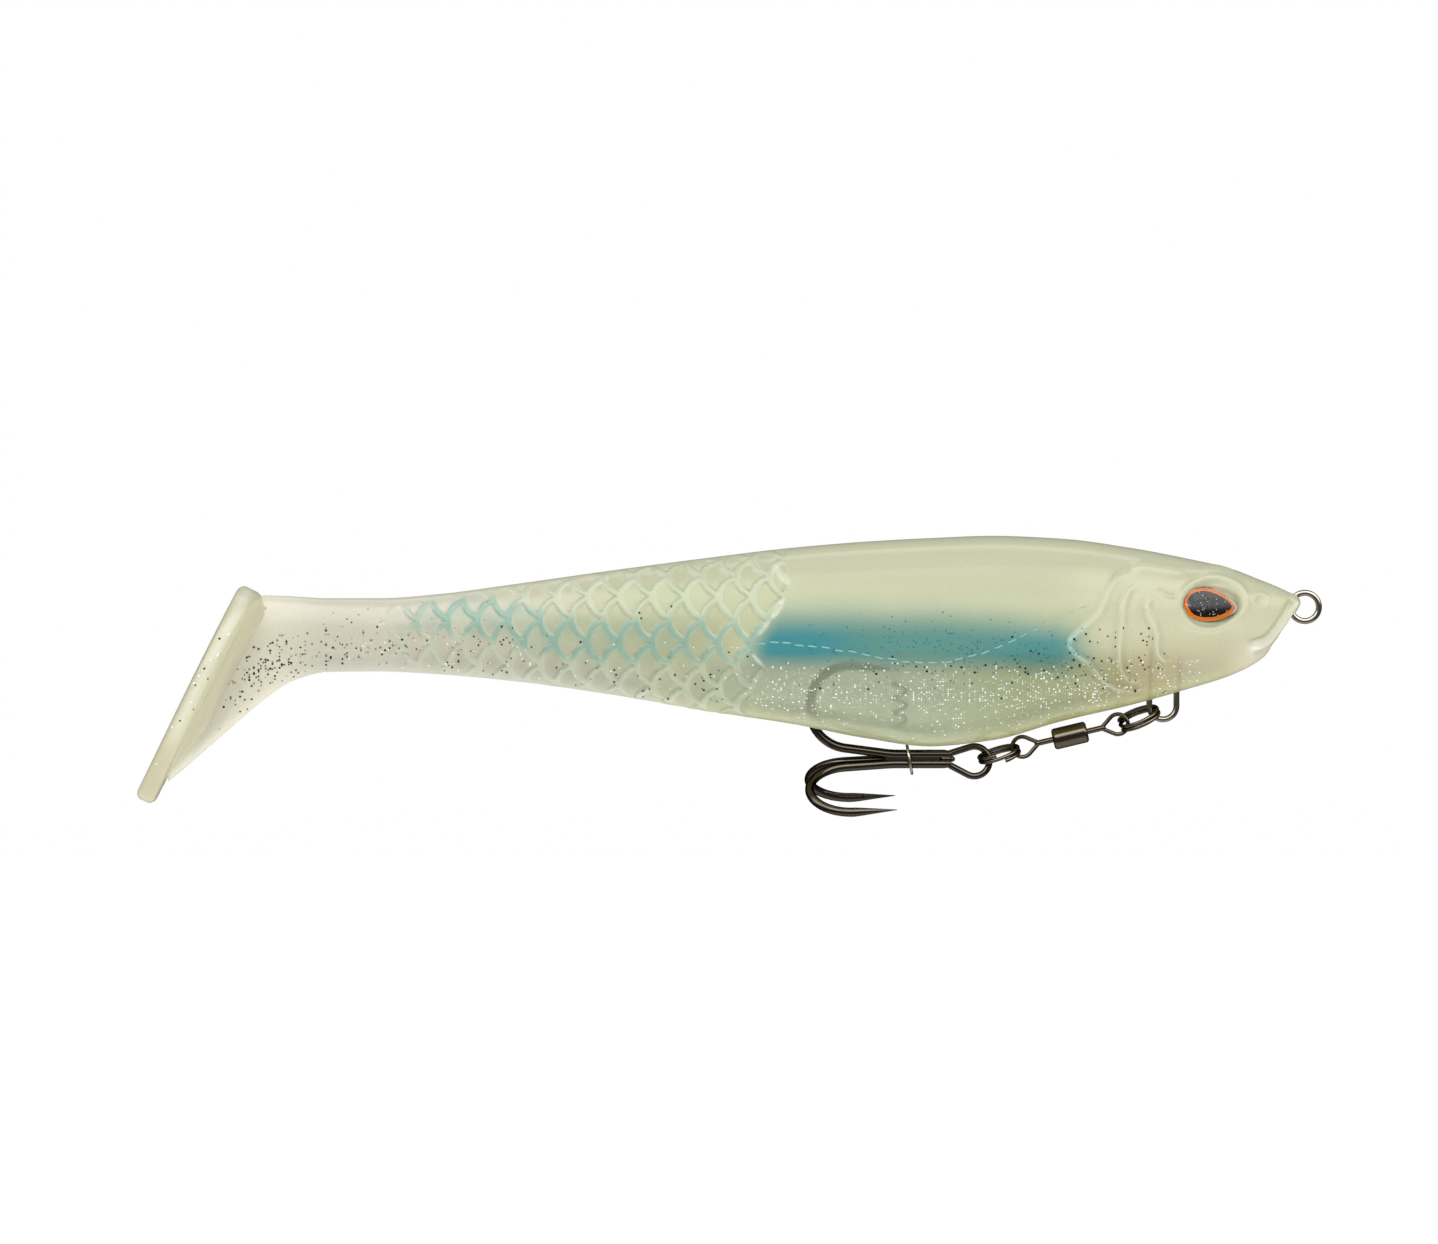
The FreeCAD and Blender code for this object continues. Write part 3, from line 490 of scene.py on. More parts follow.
def metal(name, rgb, rough, scratch=0.0):
    """Plated or drawn metal with slight unevenness; scratch adds relief."""
    m, nodes, links, p = material(name)
    coords = nodes.new("ShaderNodeTexCoord")
    noise = nodes.new("ShaderNodeTexNoise")
    noise.inputs["Scale"].default_value = 900
    noise.inputs["Detail"].default_value = 4
    links.new(coords.outputs["Object"], noise.inputs["Vector"])
    ramp = nodes.new("ShaderNodeMapRange")
    ramp.inputs["To Min"].default_value = rough * 0.8
    ramp.inputs["To Max"].default_value = rough * 1.25
    links.new(noise.outputs["Fac"], ramp.inputs["Value"])
    links.new(ramp.outputs["Result"], p.inputs["Roughness"])
    p.inputs["Base Color"].default_value = (*srgb(*rgb), 1)
    p.inputs["Metallic"].default_value = 1.0
    p.inputs["Specular Tint"].default_value = (0.25, 0.24, 0.22, 1)
    if scratch:
        b = nodes.new("ShaderNodeBump")
        b.inputs["Strength"].default_value = scratch
        b.inputs["Distance"].default_value = 0.00004
        links.new(noise.outputs["Fac"], b.inputs["Height"])
        links.new(b.outputs["Normal"], p.inputs["Normal"])
    return m


def plain(name, rgb, rough=0.3, metallic=0.0, coat=0.0):
    """One even colour."""
    m, _, _, p = material(name)
    p.inputs["Base Color"].default_value = (*srgb(*rgb), 1)
    p.inputs["Roughness"].default_value = rough
    p.inputs["Metallic"].default_value = metallic
    p.inputs["Coat Weight"].default_value = coat
    return m


def glitter_ink(name):
    """Black print with fine silver specks in its lower half."""
    m, nodes, links, p = material(name)
    coords = nodes.new("ShaderNodeTexCoord")
    cells = nodes.new("ShaderNodeTexVoronoi")
    cells.inputs["Scale"].default_value = 3400
    links.new(coords.outputs["Object"], cells.inputs["Vector"])
    dot = nodes.new("ShaderNodeMath")
    dot.operation = "LESS_THAN"
    dot.inputs[1].default_value = 0.30
    links.new(cells.outputs["Distance"], dot.inputs[0])
    pick = nodes.new("ShaderNodeSeparateColor")
    links.new(cells.outputs["Color"], pick.inputs["Color"])
    some = nodes.new("ShaderNodeMath")
    some.operation = "GREATER_THAN"
    links.new(pick.outputs["Red"], some.inputs[0])
    place = nodes.new("ShaderNodeSeparateXYZ")
    links.new(coords.outputs["Object"], place.inputs["Vector"])
    rarity = nodes.new("ShaderNodeMapRange")
    rarity.inputs["From Min"].default_value = -0.0020
    rarity.inputs["From Max"].default_value = 0.0018
    rarity.inputs["To Min"].default_value = 0.66
    rarity.inputs["To Max"].default_value = 0.96
    links.new(place.outputs["Z"], rarity.inputs["Value"])
    links.new(rarity.outputs["Result"], some.inputs[1])
    both = nodes.new("ShaderNodeMath")
    both.operation = "MULTIPLY"
    links.new(dot.outputs["Value"], both.inputs[0])
    links.new(some.outputs["Value"], both.inputs[1])
    c = nodes.new("ShaderNodeMix")
    c.data_type = "RGBA"
    c.inputs["A"].default_value = (*srgb(22, 19, 17), 1)
    c.inputs["B"].default_value = (*srgb(235, 230, 222), 1)
    links.new(both.outputs["Value"], c.inputs["Factor"])
    links.new(c.outputs["Result"], p.inputs["Base Color"])
    p.inputs["Roughness"].default_value = 0.6
    p.inputs["Specular IOR Level"].default_value = 0.05
    return m


SKIN_MAT = soft_plastic("soft_plastic")
STEEL = metal("stainless_wire", (160, 154, 141), 0.15)
DARK = metal("dark_plating", (108, 99, 86), 0.17)
NICKEL = metal("black_nickel", (86, 80, 71), 0.10)
SOLDER = metal("solder", (100, 94, 84), 0.2, scratch=0.4)
KEEPER = metal("keeper_wire", (196, 190, 165), 0.3)
LEAD = metal("lead", (120, 120, 122), 0.55)
FOIL = plain("eye_foil", (244, 126, 24), 0.5)
FOIL.node_tree.nodes["Principled BSDF"].inputs["Specular IOR Level"].default_value = 0.05
RIM_FOIL = plain("eye_rim", (206, 204, 198), 0.3, 0.35)
INK = glitter_ink("eye_ink")
DOME, _, _, dome_surface = material("eye_dome")
dome_surface.inputs["Base Color"].default_value = (1, 1, 1, 1)
dome_surface.inputs["Roughness"].default_value = 0.03
dome_surface.inputs["IOR"].default_value = 1.12
dome_surface.inputs["Coat Weight"].default_value = 0.9
dome_surface.inputs["Coat IOR"].default_value = 1.42
dome_surface.inputs["Coat Roughness"].default_value = 0.04
dome_surface.inputs["Transmission Weight"].default_value = 1.0
FLAKE_DARK = plain("flake_dark", (38, 37, 38), 0.4)
FLAKE_DEEP = plain("flake_deep", (120, 130, 118), 0.5)
# the silver flakes glow slightly, a painted glint that keeps them bright
FLAKE_SILVER_GLOW = plain("flake_silver", (246, 248, 244), 0.3)
silver_glow_surface = FLAKE_SILVER_GLOW.node_tree.nodes["Principled BSDF"]
silver_glow_surface.inputs["Emission Color"].default_value = (1, 1, 1, 1)
silver_glow_surface.inputs["Emission Strength"].default_value = 0.12
FLAKE_BLUE = plain("flake_blue", (34, 104, 134), 0.4)
FLAKE_GREY = plain("flake_grey", (166, 162, 150), 0.5)
FLAKE_SOFT = plain("flake_soft", (206, 212, 196), 0.4)
DASH = plain("lateral_dash", (128, 190, 188), 0.3, 0.0, 0.4)
DASH_PALE = plain("lateral_dash_pale", (190, 204, 176), 0.3, 0.0, 0.4)

LOOKS = {
    "harness_wire": STEEL, "ballast_weight": LEAD, "front_split_ring": DARK, "rear_split_ring": DARK,
    "swivel_front_eye": DARK, "swivel_rear_eye": DARK, "swivel_barrel": DARK, "treble_eye_and_hooks": NICKEL,
    "treble_third_hook": NICKEL, "treble_solder": SOLDER, "hook_keeper": KEEPER,
}
for node, look in LOOKS.items():
    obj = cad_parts[node]
    obj.data.materials.clear()
    obj.data.materials.append(look)

# ---- skin -----------------------------------------------------------------------------------------
CUTS = (-127.0, -162.0)
COLUMNS = 250


def spread(a, b, step):
    return np.linspace(a, b, max(2, round(abs(a - b) / step)) + 1)[:-1]


def skin_grid():
    xs = np.concatenate([
        -0.9 - np.linspace(0, 1, 16)[:-1] ** 2 * 1.5, spread(-2.4, -44, 0.34), spread(-44, -88, 0.46),
        spread(-88, CUTS[0], 0.29), spread(CUTS[0], CUTS[1], 0.27), spread(CUTS[1], WEB_END, 0.4), [WEB_END],
    ])
    rows = [ring(x, COLUMNS) for x in xs]
    y = np.array([r[0] for r in rows])
    z = np.array([r[1] for r in rows])
    v = np.array([r[2] for r in rows])
    x = np.repeat(xs[:, None], COLUMNS, 1)
    return xs, np.stack([x, y, z], -1), v


def grid_normals(p):
    du = np.gradient(p, axis=0)
    dv = np.gradient(p, axis=1)
    n = np.cross(dv, du)
    n /= np.linalg.norm(n, axis=-1, keepdims=True) + 1e-12
    return n


xs, base, v = skin_grid()
normal = grid_normals(base)
outward = np.sign((normal[:, COLUMNS // 4] * [[0, -1, 0]]).sum(-1))
normal *= np.where(outward == 0, 1, outward)[:, None, None]
height, masks = relief(base[..., 0], base[..., 1], base[..., 2], v)
skin = base + normal * height[..., None]
# the eye's socket: the skin sinks round the clear dome
socket = smooth(1.04, 0.92, np.hypot((base[..., 0] - EYE_X) / 5.0, (base[..., 2] - EYE_Z) / 3.15))
skin -= normal * (socket * smooth(1.0, 3.0, np.abs(base[..., 1])) * 0.9)[..., None]
colour, clear = paint(base[..., 0], base[..., 1], base[..., 2], masks)
true_normal = grid_normals(skin)
true_normal *= np.where(outward == 0, 1, outward)[:, None, None]


def strip_faces(first, last):
    """Faces of the skin between two rings, with the keel closed except over the slot."""
    faces = []
    for i in range(first, last):
        a, b = (i - first) * COLUMNS, (i - first + 1) * COLUMNS
        for j in range(COLUMNS - 1):
            faces.append((a + j, b + j, b + j + 1, a + j + 1))
        x_mid = (xs[i] + xs[i + 1]) / 2
        if not SLOT[0] < x_mid < SLOT[1]:
            faces.append((a + COLUMNS - 1, b + COLUMNS - 1, b, a))
    return faces


def slot_lips(first, last, count):
    """Inner walls just inside the slot."""
    inside = [i for i in range(first, last + 1) if SLOT[0] < xs[i] < SLOT[1]]
    if not inside:
        return [], []
    loop = [(i, 0) for i in inside] + [(i, COLUMNS - 1) for i in reversed(inside)]
    verts, faces = [], []
    for i, j in loop:
        p = skin[i, j].copy()
        p[2] += SLOT_LIP
        verts.append(p)
    n = len(loop)
    for k in range(n):
        (i0, j0), (i1, j1) = loop[k], loop[(k + 1) % n]
        a, b = (i0 - first) * COLUMNS + j0, (i1 - first) * COLUMNS + j1
        faces.append((a, b, count + (k + 1) % n, count + k))
    return verts, faces


def shell(name, first, last):
    p = skin[first : last + 1].reshape(-1, 3)
    c = colour[first : last + 1].reshape(-1, 3)
    t = clear[first : last + 1].ravel()
    faces = strip_faces(first, last)
    lip_verts, lip_faces = slot_lips(first, last, len(p))
    if lip_verts:
        extra = len(lip_verts)
        p = np.vstack([p, lip_verts])
        c = np.vstack([c, np.repeat(BELLY[None], extra, 0)])
        t = np.concatenate([t, np.full(extra, LIP_CLEAR)])
        faces += lip_faces
    caps = []
    if first == 0:
        caps.append(tuple(range(COLUMNS)))
    if last == len(xs) - 1:
        base_i = (last - first) * COLUMNS
        caps.append(tuple(base_i + k for k in reversed(range(COLUMNS))))
    obj = new_mesh(name, p, faces + caps)
    point_colours(obj.data, "Paint", c)
    point_values(obj.data, "Clear", t)
    obj.data.materials.append(SKIN_MAT)
    shade_smooth(obj)
    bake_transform(obj)
    return obj


cut_rows = [0] + [int(np.argmin(np.abs(xs - c))) for c in CUTS] + [len(xs) - 1]
for name, k in (("skin_front", 0), ("skin_rear", 1), ("skin_tail", 2)):
    shell(name, cut_rows[k], cut_rows[k + 1])
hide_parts("body_front")
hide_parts("body_rear")
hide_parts("tail_stem")

# ---- paddle ---------------------------------------------------------------------------------------
PADDLE_TOP = np.array([-184.3, 0.0, 4.1])
LEAN = math.radians(26.4)
DOWN = np.array([-math.sin(LEAN), 0, -math.cos(LEAN)])
OUT = np.array([math.cos(LEAN), 0, -math.sin(LEAN)])
OUTLINE = np.array([(0.0, 1.2), (0.5, 3.0), (3.5, 7.6), (9.0, 11.0), (16.0, 12.4), (24.0, 10.8), (31.0, 7.6),
                    (36.5, 5.4), (40.2, 4.2), (41.0, 2.6)])
PADDLE_LONG, PADDLE_THICK = 41.0, (4.0, 3.7)     # length, and thickness at its top and foot
PADDLE_SQUARE = 0.42                             # below 1 squares off the paddle's section


def corner_round(d, top, foot):
    """Share of the half thickness left near the paddle's ends, for rounded corners."""
    left = min(1.0, (d + 0.08) / top, (PADDLE_LONG - d + 0.08) / foot)
    return 0.3 + 0.7 * math.sqrt(1 - (1 - left) ** 2)


def paddle():
    downs = np.concatenate([np.linspace(0, 3, 14)[:-1], np.linspace(3, 38, 90)[:-1], np.linspace(38, 41, 14)])
    widths = pchip(downs, OUTLINE[:, 0], OUTLINE[:, 1])
    around = 72
    verts, faces = [], []
    for d, w in zip(downs, widths):
        rim = np.interp(d, [0, PADDLE_LONG], PADDLE_THICK)
        back_round, front_round = (corner_round(d, r, 1.4) for r in (1.4, 0.45))
        hub = smooth(-0.5, 4.5, d) * smooth(36.5, 22.0, d)
        for k in range(around):
            a = 2 * math.pi * k / around
            c, s = math.cos(a), math.sin(a)
            across = w * math.copysign(abs(c) ** PADDLE_SQUARE, c)
            share = abs(s) ** PADDLE_SQUARE
            if s > 0:
                fillet = min(4.6, 15.0 * max(0.0, 1 - abs(across) / 9.0) ** 5)
                out = rim / 2 * (1 + share * front_round) + hub * fillet
            else:
                out = rim / 2 * (1 - share * back_round) + 0.35 * max(0.0, 1 - (across / w) ** 2)
            verts.append(PADDLE_TOP + DOWN * d + np.array([0, 1, 0]) * across + OUT * out)
    n = len(downs)
    for i in range(n - 1):
        for k in range(around):
            a, b = i * around + k, i * around + (k + 1) % around
            faces.append((a, a + around, b + around, b))
    faces.append(tuple(range(around)))
    faces.append(tuple((n - 1) * around + k for k in reversed(range(around))))
    obj = new_mesh("paddle_skin", verts, faces)
    p = np.array(verts)
    rel = p - PADDLE_TOP
    d, o = rel @ DOWN, rel @ OUT
    c = np.broadcast_to(PADDLE, (len(p), 3)).copy()
    # a painted highlight band down the paddle's side
    c = mix(c, PADDLE_HIGHLIGHT, 0.85 * bump(o, 1.9, 1.1) * smooth(34, 24, d))
    c = mix(c, PADDLE_RIM, 0.4 * smooth(3.6, 4.2, o) + 0.4 * smooth(32, 38, d))
    c = mix(c, STEM * 0.96, smooth(4.8, 7.2, o))
    point_colours(obj.data, "Paint", c)
    point_values(obj.data, "Clear", 0.08 + 0.12 * smooth(4.8, 7.2, o))
    obj.data.materials.append(SKIN_MAT)
    shade_smooth(obj)
    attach(obj, "paddle")
    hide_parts("tail_paddle")


paddle()

# ---- flakes ---------------------------------------------------------------------------------------


def skin_at(x, z, side):
    """The skin point seen at (x, z) from one side, with its normal. side is -1 for the right."""
    back, belly, half = profile_at(x)
    if not belly + 0.4 < z < back - 0.4:
        return None
    i = int(np.clip(np.searchsorted(-xs, -x), 0, len(xs) - 1))
    row = skin[i]
    mid = COLUMNS // 2
    cols = np.arange(0, mid) if side < 0 else np.arange(mid, COLUMNS)
    j = cols[np.argmin(np.abs(row[cols, 2] - z) + 0.02 * np.abs(np.abs(row[cols, 1]) - half))]
    return row[j], true_normal[i, j]


FLAKE_THICK, FLAKE_TILT = 0.06, 0.03


def flake(p, n, radius, lift, tilt):
    """Corners of one thin six-sided plate, its face and then its back."""
    n = n + tilt
    n = n / np.linalg.norm(n)
    a = np.cross(n, [0.3, 0.2, 1.0])
    a /= np.linalg.norm(a)
    b = np.cross(n, a)
    turn = rng.uniform(0, math.pi)
    rim = [radius * (a * math.cos(turn + q * math.pi / 3) + b * math.sin(turn + q * math.pi / 3)) for q in range(6)]
    return [p + n * depth + r for depth in (lift, lift - FLAKE_THICK) for r in rim]


def flake_faces(start):
    """Faces of the flake whose corners begin at start: face, back and six sides."""
    sides = [(start + q, start + 6 + q, start + 6 + (q + 1) % 6, start + (q + 1) % 6) for q in range(6)]
    return [tuple(range(start, start + 6)), tuple(range(start + 11, start + 5, -1)), *sides]


def scatter(count, place):
    """Flake positions: place() gives (x, z), or None where there is to be no flake."""
    out = []
    while len(out) < count:
        spot = place()
        if spot is not None:
            out.append(spot)
    return out


# Middles of the low scales in which black flakes gather.
CLUSTERS = np.array([(-146.5, -8.8), (-140.4, -10.4), (-136.0, -9.4), (-129.7, -10.4), (-124.2, -10.9), (-114.8, -15.1),
                     (-110.0, -15.1), (-101.3, -17.0), (-103.8, -13.7), (-142.7, -5.7), (-138.4, -5.7), (-150.5, -6.0),
                     (-119.5, -12.6)])


def dark_place():
    """Where the black flakes are: lower tail, lower scales, the belly's upper margin and the gill cover."""
    pick = rng.random()
    if pick < 0.42:
        x = -187.5 + 36 * rng.beta(1.2, 2.1)
        z = np.interp(x, [-187, -181, -174, -165, -150], [-14.8, -11.0, -8.6, -7.4, -7.2]) + rng.normal(0, 2.1)
    elif pick < 0.58:
        x, z = CLUSTERS[rng.integers(len(CLUSTERS))] + rng.normal(0, 1.0, 2)
    elif pick < 0.64:
        x = rng.uniform(-160, -95)
        back, belly, _ = profile_at(x)
        z = belly + (back - belly) * (0.12 + 0.65 * rng.beta(1.6, 2.0))
    elif pick < 0.84:
        x = rng.triangular(-92, -42, -36)
        z = rng.normal(-10.6 + 0.03 * (x + 60), 1.9)
    else:
        x = rng.uniform(-40, -24)
        z = rng.uniform(-15, -3.5)
    return x, z


def silver_place():
    pick = rng.random()
    if pick < 0.80:
        x = rng.uniform(-97, -34)
        back, belly, _ = profile_at(x)
        z = rng.triangular(belly + 0.5, max(belly + 2.5, -14.5), -9.2)
        crowd = 0.55 + 0.45 * bump(x, -52, 16) + 0.2 * bump(x, -85, 6)
        if rng.random() > crowd:
            return None
    elif pick < 0.90:
        x = rng.uniform(-36, -18)
        z = rng.uniform(-15.5, -9)
    else:
        x = rng.uniform(-165, -97)
        back, belly, _ = profile_at(x)
        z = belly + (back - belly) * rng.uniform(0.06, 0.45)
    return x, z


def blue_place():
    """Small deep blue flakes in the stripe, more of them towards the head."""
    x = rng.triangular(-93, -48, -36)
    return x, rng.normal(-6.2 - 2.4 * smooth(-66, -44, x), 2.2)


def grey_place():
    """Soft grey flakes round the black ones in the tail."""
    x = rng.uniform(-188, -140)
    return x, np.interp(x, [-187, -181, -174, -165, -140], [-14.0, -9.6, -7.4, -6.4, -6.0]) + rng.normal(0, 3.0)


def flakes():
    groups = {}
    jobs = []
    for side in (-1, 1):
        for x, z in scatter(370, dark_place):
            deep = rng.random() < 0.42
            jobs.append((x, z, side, FLAKE_DEEP if deep else FLAKE_DARK, rng.uniform(0.15, 0.24), 0.03))
        for x, z in scatter(1080, silver_place):
            soft = rng.random() < 0.52
            jobs.append((x, z, side, FLAKE_SOFT if soft else FLAKE_SILVER_GLOW, rng.uniform(0.10, 0.17), 0.025))
        for x, z in scatter(170, blue_place):
            jobs.append((x, z, side, FLAKE_BLUE, rng.uniform(0.10, 0.17), 0.02))
        for x, z in scatter(110, grey_place):
            jobs.append((x, z, side, FLAKE_GREY, rng.uniform(0.12, 0.20), 0.02))
    for x, z, side, look, radius, lift in jobs:
        spot = skin_at(x, z, side)
        if spot is None:
            continue
        k = 0 if spot[0][0] > CUTS[0] else 1 if spot[0][0] > CUTS[1] else 2
        pts, faces = groups.setdefault((k, look.name), ([], []))
        start = len(pts)
        pts.extend(flake(spot[0], spot[1], radius, lift, rng.normal(0, FLAKE_TILT, 3)))
        faces.extend(flake_faces(start))
    for (k, look), (pts, faces) in sorted(groups.items()):
        obj = new_mesh(f"{look}_{('front', 'rear', 'tail')[k]}", pts, faces)
        obj.data.materials.append(bpy.data.materials[look])
        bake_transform(obj)


flakes()


def paddle_specks():
    """A few black and white flakes on the paddle's edges."""
    for look, count in ((FLAKE_DARK, 6), (FLAKE_SILVER_GLOW, 9)):
        pts, faces = [], []
        for side in (-1, 1):
            for _ in range(count):
                d, o = rng.uniform(4, 39), rng.uniform(0.9, 3.0)
                rim = np.interp(d, [0, PADDLE_LONG], PADDLE_THICK)
                w = float(pchip([d], OUTLINE[:, 0], OUTLINE[:, 1])[0])
                face_y = w * (1 - abs(2 * o / rim - 1) ** (2 / PADDLE_SQUARE)) ** (PADDLE_SQUARE / 2)
                p = PADDLE_TOP + DOWN * d + OUT * o + np.array([0, side * face_y, 0])
                start = len(pts)
                radius, tilt = rng.uniform(0.15, 0.24), rng.normal(0, FLAKE_TILT, 3)
                pts.extend(flake(p, np.array([0.0, side, 0.0]), radius, 0.03, tilt))
                faces.extend(flake_faces(start))
        obj = new_mesh(f"{look.name}_paddle", pts, faces)
        obj.data.materials.append(look)
        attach(obj, "paddle")


paddle_specks()

# ---- lateral line ---------------------------------------------------------------------------------
LATERAL = [(-94.9, -6.2), (-90.4, -6.3), (-85.8, -6.6), (-80.9, -7.3), (-76.4, -8.1), (-71.8, -9.0), (-66.9, -9.5),
           (-62.0, -9.5), (-57.0, -8.4), (-52.0, -6.5), (-46.5, -3.9), (-41.5, -1.2), (-36.8, 0.5)]
DASH_PITCH, DASH_STEPS = 2.32, 14       # spacing, and corners round a dash
DASH_PALE_FROM = -45.5                  # ahead of this the dashes are pale


def lateral_line():
    """The dashes of the side line, as low raised pieces that fade towards the head."""
    line = curve_points(LATERAL, 400)
    length = np.concatenate([[0], np.cumsum(np.hypot(*np.diff(line, axis=0).T))])
    for side, tag in ((-1, "right"), (1, "left")):
        verts, faces = [], []
        for k in range(int(length[-1] / DASH_PITCH)):
            s0 = k * DASH_PITCH
            fade = smooth(length[-1] * 1.02, length[-1] * 0.68, s0)
            half_l, half_w = 0.80 * (0.75 + 0.25 * fade), 0.145 * (0.4 + 0.6 * fade)
            centre = np.array([np.interp(s0 + 0.8, length, line[:, q]) for q in (0, 1)])
            ahead = np.array([np.interp(s0 + 1.3, length, line[:, q]) for q in (0, 1)])
            way = (ahead - centre) / np.linalg.norm(ahead - centre)
            spot = skin_at(centre[0], centre[1], side)
            if spot is None:
                continue
            p, n = spot
            a = np.array([way[0], 0, way[1]])
            a -= n * (a @ n)
            a /= np.linalg.norm(a)
            b = np.cross(n, a)
            start = len(verts)
            for lift, grow in ((-0.1, 1.0), (0.05, 1.0), (0.10, 0.72)):
                for q in range(DASH_STEPS):
                    ang = 2 * math.pi * q / DASH_STEPS
                    ca, sa = math.cos(ang), math.sin(ang)
                    u = math.copysign(abs(ca) ** 0.5, ca) * half_l * (1 - (1 - grow) * 0.3)
                    w = math.copysign(abs(sa) ** 0.7, sa) * half_w * grow
                    verts.append(p + a * u + b * w + n * lift)
            for level in range(2):
                o = start + level * DASH_STEPS
                for q in range(DASH_STEPS):
                    r = (q + 1) % DASH_STEPS
                    faces.append((o + q, o + r, o + DASH_STEPS + r, o + DASH_STEPS + q))
            faces.append(tuple(start + 2 * DASH_STEPS + q for q in range(DASH_STEPS)))
            faces.append(tuple(start + q for q in reversed(range(DASH_STEPS))))
        obj = new_mesh(f"lateral_line_{tag}", verts, faces)
        obj.data.materials.append(DASH)
        obj.data.materials.append(DASH_PALE)
        for face in obj.data.polygons:
            face.material_index = int(face.center.x > DASH_PALE_FROM * MM)
        shade_smooth(obj)
        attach(obj, "fish_front")


lateral_line()

# ---- eyes -----------------------------------------------------------------------------------------
EYE_MIDDLE = np.array([-16.45, -8.55, 0.5])
EYE_YAW, EYE_PITCH = math.radians(13.0), math.radians(14.0)
EYE_OUTLINE = [(-4.9, 0.2), (-3.7, 2.4), (-0.9, 3.0), (1.8, 2.1), (4.9, -0.5), (2.3, -2.35), (-0.7, -3.0), (-3.9, -2.1)]
PUPIL_OUTLINE = [(-4.35, 0.3), (-3.3, 2.0), (-0.9, 2.5), (1.7, 1.6), (3.8, -0.35), (1.9, -1.85), (-0.7, -2.4),
                 (-3.3, -1.8)]
DOME_R, DOME_TOP, DOME_FOOT = 9.0, 1.0, -0.80


def closed_outline(points, n=72):
    ring_points = [points[-1]] + list(points) + points[:2]
    line = curve_points(ring_points, 900)
    halves = (line[:450], line[450:])
    start, end = (int(np.argmin(np.hypot(*(half - np.array(points[0])).T))) for half in halves)
    return line[np.linspace(start, 450 + end, n + 1).astype(int)[:-1]]


def eye_place(points, side):
    """From the eye's own axes (forward, up, out) to the side of the head."""
    flat = math.cos(EYE_PITCH)
    out = np.array([math.sin(EYE_YAW) * flat, -math.cos(EYE_YAW) * flat, math.sin(EYE_PITCH)])
    forward = np.array([math.cos(EYE_YAW), math.sin(EYE_YAW), 0])
    up = np.cross(out, forward)
    p = EYE_MIDDLE + np.asarray(points) @ np.array([forward, up, out])
    return p * [1, side, 1]


def eye_piece(name, outline, low, high, material_used, node, side):
    """A lens or film inside an outline: low is its foot, high(r) its face at r from the eye's middle."""
    rings = [(1.0, low)] + [(k, None) for k in np.linspace(1.0, 0.0, 15)[:-1]]
    verts = []
    for share, height in rings:
        for a, b in outline:
            a, b = a * share, b * share
            verts.append((a, b, height if height is not None else high(math.hypot(a, b))))
    verts.append((0, 0, high(0)))
    n = len(outline)
    faces = [tuple(range(n))]
    for k in range(len(rings) - 1):
        for i in range(n):
            j = (i + 1) % n
            faces.append((k * n + i, (k + 1) * n + i, (k + 1) * n + j, k * n + j))
    last = (len(rings) - 1) * n
    faces += [(last + i, len(verts) - 1, last + (i + 1) % n) for i in range(n)]
    if side < 0:
        faces = [f[::-1] for f in faces]
    obj = new_mesh(name, eye_place(verts, side), faces)
    obj.data.materials.append(material_used)
    shade_smooth(obj)
    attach(obj, "fish_front")
    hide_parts(node)


for side, tag in ((1, "right"), (-1, "left")):
    whole, dark = closed_outline(EYE_OUTLINE), closed_outline(PUPIL_OUTLINE)
    tip = np.clip(whole[:, :1] - 2.2, 0, None)
    orange = whole * 0.975 - np.hstack([0.22 * tip, -0.03 * tip])
    eye_piece(f"{tag}_rim", whole * 0.99, -0.74, lambda r: -0.54, RIM_FOIL, f"{tag}_eye_foil", side)
    eye_piece(f"{tag}_foil", orange, -0.70, lambda r: -0.48, FOIL, f"{tag}_eye_foil", side)
    eye_piece(f"{tag}_pupil", dark * [0.955, 0.94], -0.47, lambda r: -0.43, INK, f"{tag}_eye_pupil", side)
    eye_piece(f"{tag}_lens", whole, DOME_FOOT, lambda r: DOME_TOP - DOME_R + math.sqrt(DOME_R**2 - r**2), DOME,
              f"{tag}_eye_dome", side)

# ---- stage, light and camera ----------------------------------------------------------------------


def floor():
    """A plain pale floor well below the bait."""
    half, z = 7000.0, -160.0
    obj = new_mesh("floor", [(-half, -half, z), (half, -half, z), (half, half, z), (-half, half, z)], [(0, 1, 2, 3)])
    m, _, _, p = material("floor")
    p.inputs["Base Color"].default_value = (0.9, 0.9, 0.9, 1)
    p.inputs["Roughness"].default_value = 0.9
    p.inputs["Emission Color"].default_value = (1, 1, 1, 1)
    p.inputs["Emission Strength"].default_value = 0.5
    obj.data.materials.append(m)
    obj.visible_glossy = False


def area_light(name, place, aim, size, power, size_y):
    data = bpy.data.lights.new(name, "AREA")
    data.energy = power
    data.shape = "RECTANGLE"
    data.size = size
    data.size_y = size_y
    obj = bpy.data.objects.new(name, data)
    obj.location = place
    obj.rotation_euler = (Vector(aim) - Vector(place)).to_track_quat("-Z", "Y").to_euler()
    bpy.context.scene.collection.objects.link(obj)


floor()
area_light("key", (0.15, -0.55, 0.75), (-0.09, 0, -0.01), 1.1, 2.1, 0.5)
area_light("side", (-0.55, -0.7, 0.35), (-0.11, 0, -0.01), 0.4, 0.6, 0.1)
area_light("top", (-0.10, 0.25, 0.8), (-0.10, 0, 0), 0.9, 1.0, 0.2)

world = bpy.data.worlds.new("world")
bpy.context.scene.world = world
world.use_nodes = True
sky = world.node_tree.nodes["Background"]
sky.inputs["Color"].default_value = (1, 1, 1, 1)
rays = world.node_tree.nodes.new("ShaderNodeLightPath")
level = world.node_tree.nodes.new("ShaderNodeMapRange")
level.inputs["To Min"].default_value = 0.55
level.inputs["To Max"].default_value = 1.0
world.node_tree.links.new(rays.outputs["Is Camera Ray"], level.inputs["Value"])


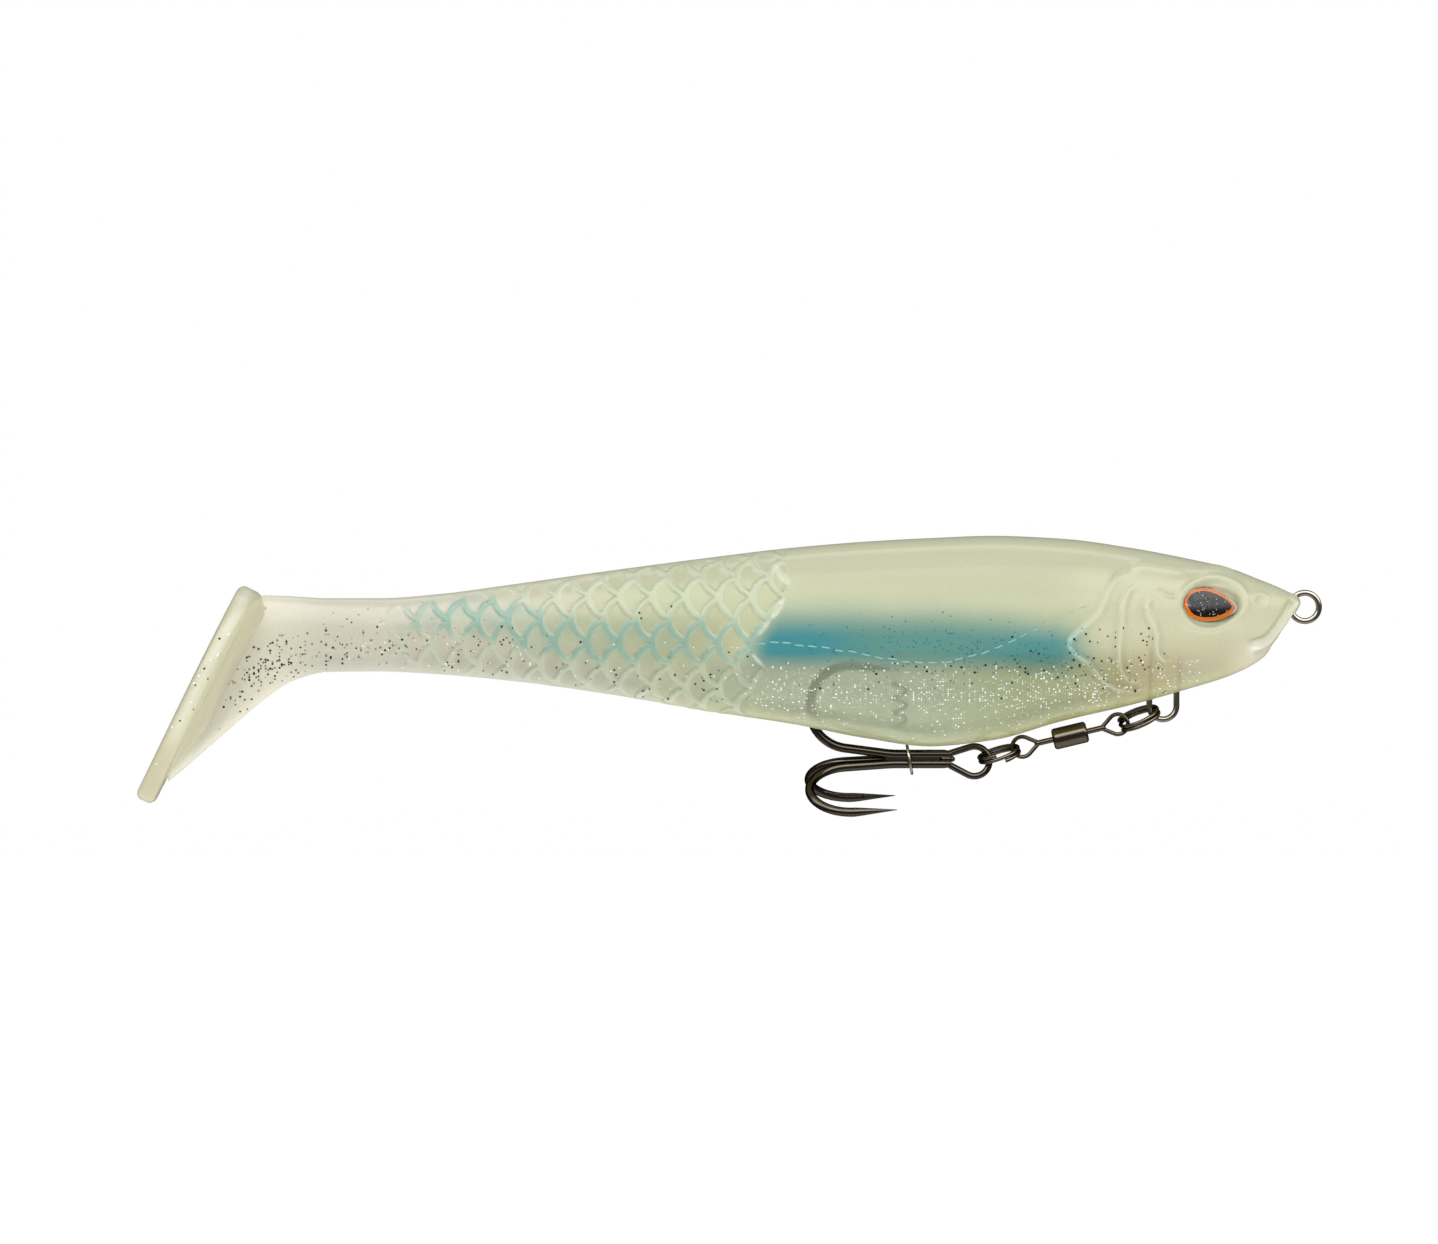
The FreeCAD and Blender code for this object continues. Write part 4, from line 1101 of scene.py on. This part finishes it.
def world_range(source, low, high, to_low, to_high):
    """A smooth ramp of one world value."""
    node = world.node_tree.nodes.new("ShaderNodeMapRange")
    node.interpolation_type = "SMOOTHSTEP"
    world.node_tree.links.new(source, node.inputs["Value"])
    for name, number in (("From Min", low), ("From Max", high), ("To Min", to_low), ("To Max", to_high)):
        node.inputs[name].default_value = number
    return node.outputs["Result"]


def world_math(kind, a, b):
    """One arithmetic step on world values."""
    node = world.node_tree.nodes.new("ShaderNodeMath")
    node.operation = kind
    world.node_tree.links.new(a, node.inputs[0])
    world.node_tree.links.new(b, node.inputs[1])
    return node.outputs["Value"]


# Reflections see a broad soft panel above the front and a paler table, with dark surroundings between.
ways = world.node_tree.nodes.new("ShaderNodeTexCoord")
split = world.node_tree.nodes.new("ShaderNodeSeparateXYZ")
world.node_tree.links.new(ways.outputs["Generated"], split.inputs["Vector"])
rise = world_range(split.outputs["Z"], 0.12, 0.42, 0, 1)
fall = world_range(split.outputs["Z"], 0.97, 0.80, 0, 1)
panel = world_math("MULTIPLY", rise, fall)
panel = world_math("MULTIPLY", panel, world_range(split.outputs["Y"], 0.25, -0.15, 0, 3.0))
table = world_range(split.outputs["Z"], -0.55, -0.85, 0.13, 0.75)
studio = world_math("ADD", panel, table)
# Light that passes through the clear plastic sees the plain pale surroundings instead.
mirrored = world_math("SUBTRACT", rays.outputs["Is Glossy Ray"], rays.outputs["Is Transmission Ray"])
glossy = world.node_tree.nodes.new("ShaderNodeMix")
world.node_tree.links.new(mirrored, glossy.inputs["Factor"])
world.node_tree.links.new(level.outputs["Result"], glossy.inputs["A"])
world.node_tree.links.new(studio, glossy.inputs["B"])
world.node_tree.links.new(glossy.outputs["Result"], sky.inputs["Strength"])

bpy.context.scene.view_settings.view_transform = "Standard"

CAMERA_AWAY, PICTURE_WIDE = 2.4, 0.248774        # metres: distance, and width of the picture at the bait
SENSOR_WIDE = 36
camera_data = bpy.data.cameras.new("camera")
camera_data.sensor_width = SENSOR_WIDE
camera_data.lens = SENSOR_WIDE * CAMERA_AWAY / PICTURE_WIDE
camera_data.clip_start = 0.01
camera = bpy.data.objects.new("camera", camera_data)
camera.location = (-0.10134, -CAMERA_AWAY, -0.00261)
camera.rotation_euler = (math.pi / 2, 0, 0)
bpy.context.scene.collection.objects.link(camera)
bpy.context.scene.camera = camera
